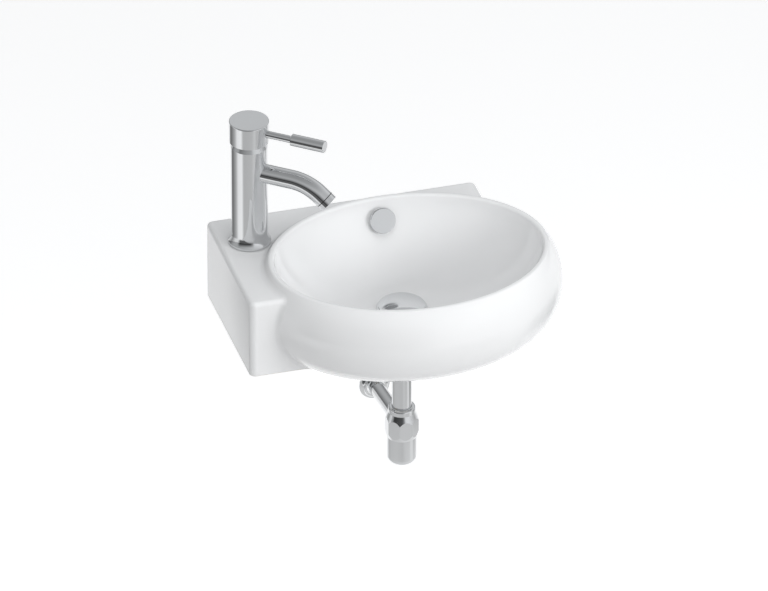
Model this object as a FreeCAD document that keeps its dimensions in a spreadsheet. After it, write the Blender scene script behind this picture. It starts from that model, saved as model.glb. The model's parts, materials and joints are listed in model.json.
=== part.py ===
import FreeCAD, Part
import math
import os
import Sketcher

# A wall-hung hand basin with its mixer tap, click-clack waste and bottle trap.
# Millimetres. +X runs right along the wall, +Y runs into the wall, +Z is up.
# The origin is midway between the two wall bolts, on the wall plane.

doc = FreeCAD.newDocument("hand_basin")
sheet = doc.addObject("Spreadsheet::Sheet", "sizes")


class Size:
    """A length that knows its value and the sheet formula that it comes from."""

    def __init__(self, value, text):
        self.value = value
        self.text = text

    def __add__(self, other):
        other = as_size(other)
        return Size(self.value + other.value, f"({self.text} + {other.text})")

    def __sub__(self, other):
        other = as_size(other)
        return Size(self.value - other.value, f"({self.text} - {other.text})")

    def __mul__(self, other):
        other = as_size(other)
        return Size(self.value * other.value, f"({self.text} * {other.text})")

    def __truediv__(self, other):
        other = as_size(other)
        return Size(self.value / other.value, f"({self.text} / {other.text})")

    def __neg__(self):
        return Size(-self.value, f"(-{self.text})")

    def __radd__(self, other):
        return as_size(other) + self

    def __rsub__(self, other):
        return as_size(other) - self

    def __rmul__(self, other):
        return as_size(other) * self


def as_size(thing):
    if isinstance(thing, Size):
        return thing
    return Size(float(thing), f"{float(thing):.9g}")


def root(thing):
    return Size(math.sqrt(thing.value), f"sqrt({thing.text})")


def power(thing, exponent):
    return Size(thing.value ** exponent, f"({thing.text} ^ {exponent})")


def sine(angle):
    return Size(math.sin(math.radians(angle.value)), f"sin({angle.text} * 1 deg)")


def cosine(angle):
    return Size(math.cos(math.radians(angle.value)), f"cos({angle.text} * 1 deg)")


def arc_tangent(slope):
    return Size(math.degrees(math.atan(slope.value)), f"(atan({slope.text}) / 1 deg)")


rows = []


def size(alias, value, meaning):
    """Put one driving dimension into the sheet."""
    rows.append(alias)
    row = len(rows)
    sheet.set(f"A{row}", meaning)
    sheet.set(f"B{row}", str(value))
    sheet.setAlias(f"B{row}", alias)
    return Size(float(value), f"sizes.{alias}")


# Fits that are used all over the part
fit_gap = size("fit_gap", 0.05, "gap of a piece pushed into its socket")
running_gap = size("running_gap", 0.3, "gap round a piece that moves")
pin_gap = size("pin_gap", 0.05, "gap round a pin that turns in its hole")
cut_over = size("cut_over", 2, "how far a cutting tool runs past the surface")

# Ceramic: block with the tap deck
deck_top = size("deck_top", 66, "deck above the wall bolts")
block_depth = size("block_depth", 209, "wall to the block's front")
block_height = size("block_height", 106, "deck to the bottom rim")
corner_round = size("corner_round", 8, "radius of the block's upright corners")
edge_round = size("edge_round", 6, "radius of the deck's edge")
ceramic_wall = size("ceramic_wall", 11, "wall of the ceramic")
deck_thick = size("deck_thick", 14, "ceramic under the tap")
block_right_in = size("block_right_in", 40, "mouth's right end to the block's right end")

# Ceramic: bowl and its bulging rim
lip_half_length = size("lip_half_length", 171, "half the bowl's mouth along the wall")
lip_half_width = size("lip_half_width", 132, "half the bowl's mouth away from the wall")
lip_from_wall = size("lip_from_wall", 25, "wall to the mouth")
rim_rise = size("rim_rise", 10, "rim above the deck")
rim_land = size("rim_land", 7, "width of the rim's crest")
rim_round = size("rim_round", 3.2, "radius on both sides of the crest")
bulge_out = size("bulge_out", 24.5, "widest line of the rim outside the mouth")
bulge_drop = size("bulge_drop", 52, "crest to the widest line")
under_run = size("under_run", 72, "how far the rim curls back underneath")
under_drop = size("under_drop", 72, "height of that curl")
blend_round = size("blend_round", 9, "radius between the rim and the block")
bowl_depth = size("bowl_depth", 105, "crest to the bowl's floor")
floor_show = size("floor_show", 10, "flat floor round the waste's flange")
floor_thick = size("floor_thick", 12, "ceramic under the floor")
waste_back = size("waste_back", 31, "waste behind the middle of the mouth")
hollow_top = size("hollow_top", 20, "top of the rim's hollow below the deck")

# Ceramic: holes
tap_from_left = size("tap_from_left", 40, "block's left end to the tap")
tap_bearing = size("tap_bearing", 31.24, "degrees round the mouth from its left end to the tap")
tap_from_lip = size("tap_from_lip", 42.97, "mouth's edge to the tap")
tap_hole_radius = size("tap_hole_radius", 17.5, "tap hole")
waste_hole_play = size("waste_hole_play", 2.5, "waste hole round the waste's tube")
waste_boss_wall = size("waste_boss_wall", 13, "boss round the waste hole")
waste_boss_length = size("waste_boss_length", 25, "floor to the boss's seat")
bolt_inset = size("bolt_inset", 26, "block's right end to the right wall bolt")
bolt_hole_radius = size("bolt_hole_radius", 8, "hole for a wall-bolt bush")

# Ceramic: overflow
overflow_drop = size("overflow_drop", 27, "crest to the overflow's middle")
overflow_tilt = size("overflow_tilt", 22, "degrees that the overflow looks upwards")
overflow_hole_radius = size("overflow_hole_radius", 8, "overflow hole")
duct_radius = size("duct_radius", 11, "outside of the overflow duct")
duct_bore = size("duct_bore", 6, "inside of the overflow duct")
duct_back = size("duct_back", 19, "wall to the duct's upper end")
duct_lean = size("duct_lean", 26, "how far the duct leans away from the wall")
duct_below_floor = size("duct_below_floor", 13, "floor to the duct's lower run")

# Overflow fittings
overflow_insert_wall = size("overflow_insert_wall", 1.6, "wall of the sleeve in the overflow hole")
overflow_insert_length = size("overflow_insert_length", 8, "sleeve behind the bowl's face")
overflow_insert_stand = size("overflow_insert_stand", 0.7, "sleeve's flange in front of the bowl's face")
overflow_insert_flange = size("overflow_insert_flange", 11, "radius of that flange")
overflow_insert_thick = size("overflow_insert_thick", 1.2, "thickness of that flange")
overflow_cap_radius = size("overflow_cap_radius", 16.5, "overflow cap")
overflow_cap_thick = size("overflow_cap_thick", 4, "thickness of the cap")
overflow_cap_bevel = size("overflow_cap_bevel", 1, "bevel round the cap's face")
overflow_cap_stand = size("overflow_cap_stand", 5, "bowl's face to the back of the cap")
overflow_leg_wall = size("overflow_leg_wall", 1.2, "thickness of the cap's clip legs")
overflow_leg_angle = size("overflow_leg_angle", 70, "degrees that a clip leg spans")

# Wall-bolt bushes
bush_bore = size("bush_bore", 5.5, "hole for a wall bolt")
bush_flange_radius = size("bush_flange_radius", 13, "flange inside the ceramic")
bush_flange_thick = size("bush_flange_thick", 3, "thickness of that flange")

# Waste
waste_seal_thick = size("waste_seal_thick", 2.5, "seal under the waste's flange")
waste_seal_in = size("waste_seal_in", 2, "that seal inside the flange's edge")
waste_flange_show = size("waste_flange_show", 2.5, "waste flange round the plug")
waste_flange_thick = size("waste_flange_thick", 3, "thickness of the flange")
waste_flange_bevel = size("waste_flange_bevel", 2.4, "width of the bevel round the flange")
waste_flange_drop = size("waste_flange_drop", 1.2, "height of that bevel")
waste_tube_radius = size("waste_tube_radius", 20.5, "outside of the threaded tube")
waste_tube_wall = size("waste_tube_wall", 2.2, "wall of the threaded tube")
waste_throat = size("waste_throat", 4, "bevel of the throat")
waste_length = size("waste_length", 62, "bowl's floor to the tube's end")
waste_slot_width = size("waste_slot_width", 9, "overflow slots in the tube")
waste_slot_height = size("waste_slot_height", 10, "height of those slots")
waste_bar_width = size("waste_bar_width", 4, "bars that carry the latch")
waste_bar_height = size("waste_bar_height", 6, "height of those bars")
waste_bar_drop = size("waste_bar_drop", 26, "floor to the underside of the bars")
waste_hub_radius = size("waste_hub_radius", 10, "hub where the bars meet")
taper_washer_wall = size("taper_washer_wall", 10.5, "width of the rubber washer under the ceramic")
taper_washer_thick = size("taper_washer_thick", 6, "thickness of the rubber washer")
slip_washer_wall = size("slip_washer_wall", 8.5, "width of the plastic washer under the rubber one")
slip_washer_thick = size("slip_washer_thick", 2, "thickness of the plastic washer")
back_nut_wall = size("back_nut_wall", 10.5, "back nut from its thread to its corners")
back_nut_height = size("back_nut_height", 10, "height of the back nut")

# Click-clack plug
plug_travel = size("plug_travel", 7, "rise of the plug when it opens")
plug_over = size("plug_over", 7.9, "plug beyond its seal")
plug_edge = size("plug_edge", 1.8, "height of the plug's rim")
plug_crown = size("plug_crown", 4.5, "height of the plug's middle")
plug_lift = size("plug_lift", 0.7, "closed plug above the flange")
plug_boss_radius = size("plug_boss_radius", 5, "boss under the plug")
plug_boss_length = size("plug_boss_length", 8.7, "length of the boss")
plug_stem_radius = size("plug_stem_radius", 2.5, "stem of the plug")
plug_seal_over = size("plug_seal_over", 3.3, "seal under the plug beyond the tube's bore")
plug_seal_thick = size("plug_seal_thick", 3.2, "thickness of that seal")
piston_height = size("piston_height", 3, "piston at the stem's foot")
barrel_radius = size("barrel_radius", 7, "outside of the latch barrel")
barrel_bore = size("barrel_bore", 4.6, "inside of the latch barrel")
barrel_floor = size("barrel_floor", 2, "bottom of the latch barrel")
latch_ring_height = size("latch_ring_height", 2.4, "ring that holds the piston in")
spring_room = size("spring_room", 12, "room for the spring when the plug is closed")
spring_wire = size("spring_wire", 0.4, "radius of the spring's wire")
spring_turns = size("spring_turns", 6, "turns of the spring")
rings_per_turn = 10

# Shares that shape small pieces
knuckle_share = 1.1
plug_seal_bevel = 0.75
nut_foot_round = 0.8
aerator_hub = 0.35
mixing_share = 0.6

# Bottle trap
trap_drop = size("trap_drop", 236, "deck to the top of the trap's collar nut")
tail_radius = size("tail_radius", 12.5, "outside of the tail pipe")
tail_wall = size("tail_wall", 1.5, "wall of the tail pipe")
tail_dip = size("tail_dip", 66, "collar nut's top to the tail pipe's end")
joint_seal_thick = size("joint_seal_thick", 2.5, "seal between the waste and the tail pipe")
tail_flange_thick = size("tail_flange_thick", 2, "flange at the tail pipe's top")
inlet_nut_wall = size("inlet_nut_wall", 5.5, "wall of the nut under the waste")
inlet_nut_grip = size("inlet_nut_grip", 14, "nut's hold on the waste's thread")
inlet_nut_lip = size("inlet_nut_lip", 2.5, "lip of that nut under the flange")
trap_collar_radius = size("trap_collar_radius", 17.4, "collar nut on the trap")
trap_collar_height = size("trap_collar_height", 8, "height of the collar nut")
trap_collar_lip = size("trap_collar_lip", 3, "top of the collar nut that closes on the pipe")
trap_collar_seal_thick = size("trap_collar_seal_thick", 2, "seal under the collar nut")
trap_collar_round = size("trap_collar_round", 3, "radius on the collar nut's top")
neck_radius = size("neck_radius", 14.9, "trap's neck inside the collar nut")
trap_body_radius = size("trap_body_radius", 21.5, "trap body across its corners, half")
trap_body_height = size("trap_body_height", 36, "height of the trap body")
trap_body_top_bevel = size("trap_body_top_bevel", 12, "height of the long bevel at its top")
trap_body_foot_bevel = size("trap_body_foot_bevel", 8, "height of the bevel at its foot")
trap_body_top_wall = size("trap_body_top_wall", 2.5, "top of the trap body")
trap_chamber_radius = size("trap_chamber_radius", 15.5, "inside of the trap body")
bottle_radius = size("bottle_radius", 19, "trap's bottle")
bottle_bore = size("bottle_bore", 15.2, "inside of the bottle")
bottle_height = size("bottle_height", 38, "bottle below the trap body")
bottle_floor = size("bottle_floor", 2.5, "bottom of the bottle")
bottle_round = size("bottle_round", 9, "radius at the bottle's bottom")
bottle_neck_radius = size("bottle_neck_radius", 17, "bottle's thread inside the trap body")
bottle_neck_height = size("bottle_neck_height", 4, "length of that thread")
bottle_seal_thick = size("bottle_seal_thick", 1, "seal above the bottle's thread")
outlet_drop = size("outlet_drop", 27, "collar nut's top to the outlet's axis")
outlet_fall = size("outlet_fall", 8, "degrees that the outlet pipe falls to the wall")
outlet_radius = size("outlet_radius", 10, "outside of the outlet pipe")
outlet_wall = size("outlet_wall", 1.2, "wall of the outlet pipe")
outlet_behind = size("outlet_behind", 45, "outlet pipe behind the wall's face")
outlet_end_radius = size("outlet_end_radius", 9.6, "turned end that goes into the wall's socket")
outlet_end_length = size("outlet_end_length", 32, "length of that turned end")
outlet_collar = size("outlet_collar", 2, "wall of the socket round the outlet pipe")
outlet_collar_end = size("outlet_collar_end", 24, "trap's axis to the end of that socket")
flange_radius = size("flange_radius", 20, "wall flange")
flange_edge = size("flange_edge", 2, "height of the wall flange's rim")
flange_dish = size("flange_dish", 1.5, "hollow of the wall flange's dish")
flange_depth = size("flange_depth", 8, "height of the wall flange's collar")
flange_play = size("flange_play", 1.6, "room for the sloping pipe in the wall flange")
flange_collar = size("flange_collar", 2.4, "wall of that collar")

# Tap: body and base
tap_turn = size("tap_turn", 39, "degrees that the spout points from the wall's line to the front")
tap_radius = size("tap_radius", 23.2, "tap body")
tap_top = size("tap_top", 139, "deck to the top of the tap body")
foot_radius = size("foot_radius", 21.5, "tap's foot inside the base ring")
base_seal_thick = size("base_seal_thick", 1, "seal under the tap")
base_seal_radius = size("base_seal_radius", 23.5, "outside of that seal")
base_ring_radius = size("base_ring_radius", 27, "base ring at the deck")
base_ring_edge = size("base_ring_edge", 2.5, "upright edge of the base ring")
base_ring_height = size("base_ring_height", 15, "deck to the top of the base ring")
spigot_radius = size("spigot_radius", 16.5, "tap's spigot in the tap hole")
spigot_length = size("spigot_length", 8, "deck to the spigot's end")
chamber_radius = size("chamber_radius", 17.8, "cartridge chamber")
port_radius = size("port_radius", 4, "waterways up to the cartridge")
inlet_back = size("inlet_back", 5, "inlets behind the tap's axis")
inlet_side = size("inlet_side", 8.5, "inlets to either side of the tap's axis")
inlet_thread_radius = size("inlet_thread_radius", 4.6, "threaded mouth of an inlet")
inlet_thread_length = size("inlet_thread_length", 14, "length of that thread")
outlet_ahead = size("outlet_ahead", 7, "outlet port ahead of the tap's axis")
stud_ahead = size("stud_ahead", 9, "fixing stud ahead of the tap's axis")
stud_radius = size("stud_radius", 4, "fixing stud")
stud_hold = size("stud_hold", 9, "stud inside the tap")
stud_reach = size("stud_reach", 48, "deck to the stud's lower end")

# Tap: spout and aerator
spout_drop = size("spout_drop", 35, "top of the tap body to the spout's axis")
spout_radius = size("spout_radius", 12.2, "outside of the spout")
spout_bore = size("spout_bore", 7.5, "inside of the spout")
spout_straight = size("spout_straight", 58, "tap's axis to the start of the bend")
spout_bend = size("spout_bend", 60, "radius of the bend")
spout_angle = size("spout_angle", 39, "degrees of the bend")
spout_end = size("spout_end", 8, "straight end of the spout beyond the bend")
socket_depth = size("socket_depth", 4.6, "spout's spigot inside the tap body")
socket_wall = size("socket_wall", 1.5, "wall of that spigot")
waterway_radius = size("waterway_radius", 6, "waterway from the chamber to the spout")
aerator_length = size("aerator_length", 7, "aerator beyond the spout's end")
aerator_shank = size("aerator_shank", 6, "aerator's thread inside the spout")
aerator_wall = size("aerator_wall", 1.2, "wall of that thread")
aerator_lip = size("aerator_lip", 2.6, "lip at the aerator's end")
aerator_washer_thick = size("aerator_washer_thick", 1, "washer between spout and aerator")

# Tap: cartridge
port_seal_thick = size("port_seal_thick", 1, "seals under the cartridge")
port_seal_wall = size("port_seal_wall", 1.6, "width of those seals")
cartridge_radius = size("cartridge_radius", 17.4, "cartridge")
cartridge_base_height = size("cartridge_base_height", 3.5, "cartridge's foot")
fixed_disc_radius = size("fixed_disc_radius", 14.5, "lower ceramic disc")
disc_height = size("disc_height", 4, "each ceramic disc")
disc_port_radius = size("disc_port_radius", 3.5, "ports of the lower disc")
disc_gap = size("disc_gap", 0.1, "film between the two discs")
moving_disc_radius = size("moving_disc_radius", 10.5, "upper ceramic disc")
mixing_depth = size("mixing_depth", 2, "hollow under the upper disc")
carrier_height = size("carrier_height", 4, "carrier on the upper disc")
carrier_floor = size("carrier_floor", 0.8, "carrier under the stem's end")
housing_bore = size("housing_bore", 14.9, "inside of the cartridge housing")
housing_top = size("housing_top", 3, "top of the housing")
rotor_radius = size("rotor_radius", 9.9, "rotor's neck")
rotor_flange = size("rotor_flange", 14.4, "rotor's flange under the housing's top")
rotor_flange_thick = size("rotor_flange_thick", 2.3, "thickness of that flange")
rotor_slot = size("rotor_slot", 6.5, "half the slot that the stem swings in")
pivot_rise = size("pivot_rise", 5.6, "rotor's foot to the stem's pivot")
pivot_radius = size("pivot_radius", 1.5, "pivot pin")
pivot_short = size("pivot_short", 0.8, "pin's ends inside the rotor's neck")
stem_half_deep = size("stem_half_deep", 3.5, "stem along the lever, half")
stem_half_wide = size("stem_half_wide", 3, "stem across the lever, half")
stem_tip_deep = size("stem_tip_deep", 1.8, "stem's lower end along the lever, half")
stem_tip_wide = size("stem_tip_wide", 2.5, "stem's lower end across the lever, half")
stem_tip_length = size("stem_tip_length", 4.4, "stem's lower end")
stem_tip_play = size("stem_tip_play", 1.3, "room for the leaning end in the carrier")
stem_short = size("stem_short", 4.5, "stem's upper end below the cap's ceiling")
nut_bore = size("nut_bore", 11.5, "opening of the cartridge nut")
nut_height = size("nut_height", 5, "height of the cartridge nut")

# Tap: collar and handle
tap_collar_rise = size("tap_collar_rise", 10.5, "top of the tap body to the collar's top")
tap_collar_top_radius = size("tap_collar_top_radius", 18.6, "collar at its top")
tap_collar_bore = size("tap_collar_bore", 14.5, "opening of the collar")
tap_collar_edge = size("tap_collar_edge", 1, "upright edge of the collar")
tap_collar_thick = size("tap_collar_thick", 3, "collar at its opening")
cap_radius = size("cap_radius", 25.2, "handle cap")
cap_gap = size("cap_gap", 9, "top of the tap body to the cap's lower edge")
cap_height = size("cap_height", 28.5, "height of the cap")
cap_wall = size("cap_wall", 3, "wall of the cap")
cap_thick = size("cap_thick", 5, "top of the cap")
cap_round = size("cap_round", 1.2, "radius on the cap's upper edge")
boss_radius = size("boss_radius", 9, "boss in the cap that holds the stem")
boss_length = size("boss_length", 14.5, "length of that boss")
lever_drop = size("lever_drop", 14.5, "cap's top to the lever's axis")
lever_radius = size("lever_radius", 4.8, "lever rod")
lever_neck = size("lever_neck", 3, "threaded end of the lever rod")
lever_seat = size("lever_seat", 1, "depth of the lever's seat in the cap")
lever_end = size("lever_end", 92, "tap's axis to the rod's end")
grip_radius = size("grip_radius", 7.8, "lever's grip")
grip_start = size("grip_start", 58, "tap's axis to the grip")
grip_end = size("grip_end", 103, "tap's axis to the grip's end")
grip_round = size("grip_round", 0.6, "radius at the grip's ends")

# Tap: fixing under the deck
shoe_radius = size("shoe_radius", 24, "horseshoe gasket and washer")
shoe_slot = size("shoe_slot", 14.5, "half the width of their slot")
shoe_slot_end = size("shoe_slot_end", 3.5, "tap's axis to the slot's closed end")
gasket_thick = size("gasket_thick", 3, "rubber horseshoe")
shoe_thick = size("shoe_thick", 2.5, "steel horseshoe")
fixing_nut_radius = size("fixing_nut_radius", 7.5, "fixing nut across its corners, half")
fixing_nut_height = size("fixing_nut_height", 13.5, "height of the fixing nut")

# Heights and places that several pieces share
crest = deck_top + rim_rise
floor = crest - bowl_depth
widest = crest - bulge_drop
block_bottom = deck_top - block_height
bowl_from_wall = lip_half_width + lip_from_wall
waste_from_wall = bowl_from_wall - waste_back
waste_y = -waste_from_wall
lip_slope_x = lip_half_width * cosine(tap_bearing)
lip_slope_y = lip_half_length * sine(tap_bearing)
lip_slope = root(lip_slope_x * lip_slope_x + lip_slope_y * lip_slope_y)
tap_x = -lip_half_length * cosine(tap_bearing) - tap_from_lip * lip_slope_x / lip_slope
tap_y = lip_half_width * sine(tap_bearing) + tap_from_lip * lip_slope_y / lip_slope - bowl_from_wall
block_left = tap_from_left - tap_x
block_right = lip_half_length - block_right_in
bolt_spacing = 2 * (block_right - bolt_inset)
boss_seat = floor - waste_boss_length
flange_bottom = floor + waste_seal_thick
flange_top = flange_bottom + waste_flange_thick
tube_bore = waste_tube_radius - waste_tube_wall
plug_seal_radius = tube_bore + plug_seal_over
plug_radius = plug_seal_radius + plug_over
waste_flange_radius = plug_radius + waste_flange_show
waste_seal_radius = waste_flange_radius - waste_seal_in
floor_radius = waste_flange_radius + floor_show
waste_hole_radius = waste_tube_radius + waste_hole_play
waste_boss_radius = waste_hole_radius + waste_boss_wall
taper_washer_radius = waste_tube_radius + taper_washer_wall
slip_washer_radius = waste_tube_radius + slip_washer_wall
back_nut_radius = waste_tube_radius + back_nut_wall
inlet_nut_radius = waste_tube_radius + inlet_nut_wall
tube_end = floor - waste_length
plug_under = flange_top + plug_lift
barrel_top = plug_under - plug_boss_length - plug_lift
piston_top = barrel_top - latch_ring_height - plug_travel - running_gap
piston_foot = piston_top - piston_height
barrel_bottom = piston_foot - spring_room - barrel_floor
trap_top = deck_top - trap_drop
trap_collar_bottom = trap_top - trap_collar_height
trap_body_bottom = trap_collar_bottom - trap_body_height
bottle_neck_top = trap_body_bottom + bottle_neck_height
outlet_z = trap_top - outlet_drop
duct_top = crest - overflow_drop + duct_radius
housing_lid = tap_top - nut_height
rotor_shoulder = housing_lid - housing_top - running_gap
rotor_foot = rotor_shoulder - rotor_flange_thick
pivot_height = rotor_foot + pivot_rise
carrier_top = rotor_foot - running_gap
carrier_foot = carrier_top - carrier_height
moving_disc_foot = carrier_foot - disc_height
disc_seat = moving_disc_foot - disc_gap - disc_height
cartridge_foot = disc_seat - cartridge_base_height
chamber_floor = cartridge_foot - port_seal_thick
spout_height = tap_top - spout_drop
cap_bottom = tap_top + cap_gap
cap_top = cap_bottom + cap_height
cap_ceiling = cap_top - cap_thick
boss_bottom = cap_ceiling - boss_length
stem_top = cap_ceiling - stem_short
lever_height = cap_top - lever_drop


def bind(thing, name, amount):
    thing.setExpression(name, as_size(amount).text)


def new_body(label, x=0, y=0, z=0, turn=None):
    """Start a piece at a place, turned about the upright axis where asked."""
    body = doc.addObject("PartDesign::Body", label)
    body.Label = label
    bind(body, "Placement.Base.x", x)
    bind(body, "Placement.Base.y", y)
    bind(body, "Placement.Base.z", z)
    if turn is not None:
        body.Placement.Rotation = FreeCAD.Rotation(FreeCAD.Vector(0, 0, 1), turn.value)
        bind(body, "Placement.Rotation.Angle", turn)
    return body


def new_sketch(body, plane, height=0):
    """Open a sketch on one of the body's own planes, lifted off it by a height."""
    sketch = body.newObject("Sketcher::SketchObject", f"{body.Name}_sketch")
    found = [item for item in body.Origin.OriginFeatures if item.Role == plane]
    sketch.AttachmentSupport = [(found[0], "")]
    sketch.MapMode = "FlatFace"
    bind(sketch, "AttachmentOffset.Base.z", height)
    return sketch


def pin(sketch, geometry, point, place):
    """Hold one sketch point at a place that the sheet gives."""
    for kind, amount in zip(("DistanceX", "DistanceY"), place):
        amount = as_size(amount)
        rule = Sketcher.Constraint(kind, -1, 1, geometry, point, amount.value)
        number = sketch.addConstraint(rule)
        sketch.setExpression(f"Constraints[{number}]", amount.text)


def flat(place):
    return FreeCAD.Vector(as_size(place[0]).value, as_size(place[1]).value, 0)


def draw_side(sketch, corner, after):
    """Draw one side, bowed to the right where its corner carries a bulge; give its two ends."""
    start = flat(corner)
    end = flat(after)
    if len(corner) == 2:
        sketch.addGeometry(Part.LineSegment(start, end), False)
        return (1, 2)
    bulge = corner[2]
    run = as_size(after[0]) - corner[0]
    rise = as_size(after[1]) - corner[1]
    chord = run * run + rise * rise
    radius = (chord / 4 + bulge * bulge) / (2 * bulge)
    leftward = FreeCAD.Vector(-rise.value, run.value, 0).normalize()
    centre = (start + end) * 0.5 + leftward * (radius.value - bulge.value)
    outward = bulge.value > 0
    points = (start, end) if outward else (end, start)
    first, last = [math.atan2(point.y - centre.y, point.x - centre.x) for point in points]
    if last < first:
        last += 2 * math.pi
    held = radius if outward else -radius
    circle = Part.Circle(centre, FreeCAD.Vector(0, 0, 1), held.value)
    number = sketch.addGeometry(Part.ArcOfCircle(circle, first, last), False)
    rule = sketch.addConstraint(Sketcher.Constraint("Radius", number, held.value))
    sketch.setExpression(f"Constraints[{rule}]", held.text)
    return (1, 2) if outward else (2, 1)


def draw_outline(sketch, corners):
    """Draw a closed outline with every corner held; a corner's third value bows the side after it."""
    first = sketch.GeometryCount
    count = len(corners)
    ends = []
    for index in range(count):
        ends.append(draw_side(sketch, corners[index], corners[(index + 1) % count]))
    for index in range(count):
        after = (index + 1) % count
        rule = Sketcher.Constraint("Coincident", first + index, ends[index][1], first + after, ends[after][0])
        sketch.addConstraint(rule)
    for index in range(count):
        pin(sketch, first + index, ends[index][0], corners[index])


def draw_circle(sketch, centre, radius):
    radius = as_size(radius)
    upright = FreeCAD.Vector(0, 0, 1)
    number = sketch.addGeometry(Part.Circle(flat(centre), upright, radius.value), False)
    rule = sketch.addConstraint(Sketcher.Constraint("Radius", number, radius.value))
    sketch.setExpression(f"Constraints[{rule}]", radius.text)
    pin(sketch, number, 3, centre)


def turn_profile(body, kind, corners, axis, plane):
    sketch = new_sketch(body, plane)
    draw_outline(sketch, corners)
    feature = body.newObject(f"PartDesign::{kind}", f"{body.Name}_{kind.lower()}")
    feature.Profile = sketch
    feature.ReferenceAxis = (sketch, [axis])
    feature.Angle = 360
    body.Tip = feature
    return feature


def revolve(body, corners, axis="V_Axis", plane="XZ_Plane"):
    """Turn an outline of (radius, height) corners about the body's own axis."""
    return turn_profile(body, "Revolution", corners, axis, plane)


def groove(body, corners, axis="V_Axis", plane="XZ_Plane"):
    """Turn away an outline of (radius, height) corners."""
    return turn_profile(body, "Groove", corners, axis, plane)


def revolve_about(body, plane, start, end, corners, kind="Revolution"):
    """Turn an outline, added or cut away, about a slanting line through two held points."""
    sketch = new_sketch(body, plane)
    sketch.addGeometry(Part.LineSegment(flat(start), flat(end)), True)
    pin(sketch, 0, 1, start)
    pin(sketch, 0, 2, end)
    draw_outline(sketch, corners)
    feature = body.newObject(f"PartDesign::{kind}", f"{body.Name}_{kind.lower()}")
    feature.Profile = sketch
    feature.ReferenceAxis = (sketch, ["Axis0"])
    feature.Angle = 360
    body.Tip = feature
    return feature


def extrude(body, kind, plane, shapes, start, length):
    sketch = new_sketch(body, plane, start)
    for shape in shapes:
        if len(shape) == 2:
            draw_circle(sketch, shape[0], shape[1])
        else:
            draw_outline(sketch, shape)
    feature = body.newObject(f"PartDesign::{kind}", f"{body.Name}_{kind.lower()}")
    feature.Profile = sketch
    bind(feature, "Length", length)
    body.Tip = feature
    return feature


def pad(body, plane, shapes, start, length):
    """Grow outlines from a plane, away from the origin side."""
    return extrude(body, "Pad", plane, shapes, start, length)


def pocket(body, plane, shapes, start, length):
    """Cut outlines back from a plane, and make sure that something was cut."""
    doc.recompute()
    before = body.Shape.Volume
    feature = extrude(body, "Pocket", plane, shapes, start, length)
    doc.recompute()
    if body.Shape.Volume > before - 1e-6:
        raise ValueError(f"{body.Label}: a pocket cut nothing")
    return feature


def round_rims(body, rims, radius):
    """Round the circular edges that have these radii and heights."""
    doc.recompute()
    base = body.Tip
    names = []
    for number, edge in enumerate(base.Shape.Edges, 1):
        if edge.Curve.TypeId != "Part::GeomCircle":
            continue
        for rim_radius, rim_height in rims:
            near_radius = abs(edge.Curve.Radius - as_size(rim_radius).value) < 1e-4
            near_height = abs(edge.Curve.Center.z - as_size(rim_height).value) < 1e-4
            if near_radius and near_height:
                names.append(f"Edge{number}")
    if len(names) != len(rims):
        raise ValueError(f"{body.Label}: found {len(names)} of {len(rims)} rims")
    feature = body.newObject("PartDesign::Fillet", f"{body.Name}_fillet")
    feature.Base = (base, names)
    bind(feature, "Radius", radius)
    body.Tip = feature
    return feature


def box_between(start, end):
    """Corners of an upright rectangle from one corner to the opposite one."""
    return [start, (end[0], start[1]), end, (start[0], end[1])]


def hexagon(radius):
    """Corners of a hexagon with two corners on the first axis."""
    across = radius * math.sqrt(0.75)
    half = radius * 0.5
    return [(radius, 0), (half, across), (-half, across), (-radius, 0), (-half, -across), (half, -across)]


def octagon(radius):
    """Corners of an octagon whose sides face along and across the wall."""
    near = radius * math.sin(math.pi / 8)
    far = radius * math.cos(math.pi / 8)
    return [(far, near), (near, far), (-near, far), (-far, near),
            (-far, -near), (-near, -far), (near, -far), (far, -near)]


# The ceramic is put together from lofted ovals, boxes and cylinders.


def oval(name, half_length, half_width, y, z):
    item = doc.addObject("Part::Ellipse", name)
    bind(item, "MajorRadius", half_length)
    bind(item, "MinorRadius", half_width)
    bind(item, "Placement.Base.y", y)
    bind(item, "Placement.Base.z", z)
    return item


def loft(name, ovals, ruled=False):
    item = doc.addObject("Part::Loft", name)
    item.Sections = ovals
    item.Solid = True
    item.Ruled = ruled
    return item


def combine(kind, name, base, tool):
    item = doc.addObject(f"Part::{kind}", name)
    item.Base = base
    item.Tool = tool
    return item


def box(name, low, high):
    item = doc.addObject("Part::Box", name)
    for side, axis, start, end in zip(("Length", "Width", "Height"), "xyz", low, high):
        bind(item, side, as_size(end) - start)
        bind(item, f"Placement.Base.{axis}", start)
    return item


def rod(name, radius, length, x, y, z, tilt=None):
    """A cylinder standing up, or leaning towards +Y by an angle from upright."""
    item = doc.addObject("Part::Cylinder", name)
    bind(item, "Radius", radius)
    bind(item, "Height", length)
    if tilt is not None:
        item.Placement.Rotation = FreeCAD.Rotation(FreeCAD.Vector(-1, 0, 0), as_size(tilt).value)
        bind(item, "Placement.Rotation.Angle", tilt)
    bind(item, "Placement.Base.x", x)
    bind(item, "Placement.Base.y", y)
    bind(item, "Placement.Base.z", z)
    return item


# The rim's side is an arc from the widest line up to the lip; the lip is a small arc inside it.
upper_run = bulge_out - rim_land
upper_arc = (bulge_drop * bulge_drop + upper_run * upper_run) / (2 * upper_run)
lip_up = (bulge_drop - rim_round) / (upper_arc - rim_round)
lip_across = root(1 - lip_up * lip_up)
lip_centre = bulge_out - upper_arc + (upper_arc - rim_round) * lip_across
lip_foot = upper_arc * lip_up
mouth = crest - rim_round


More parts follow.
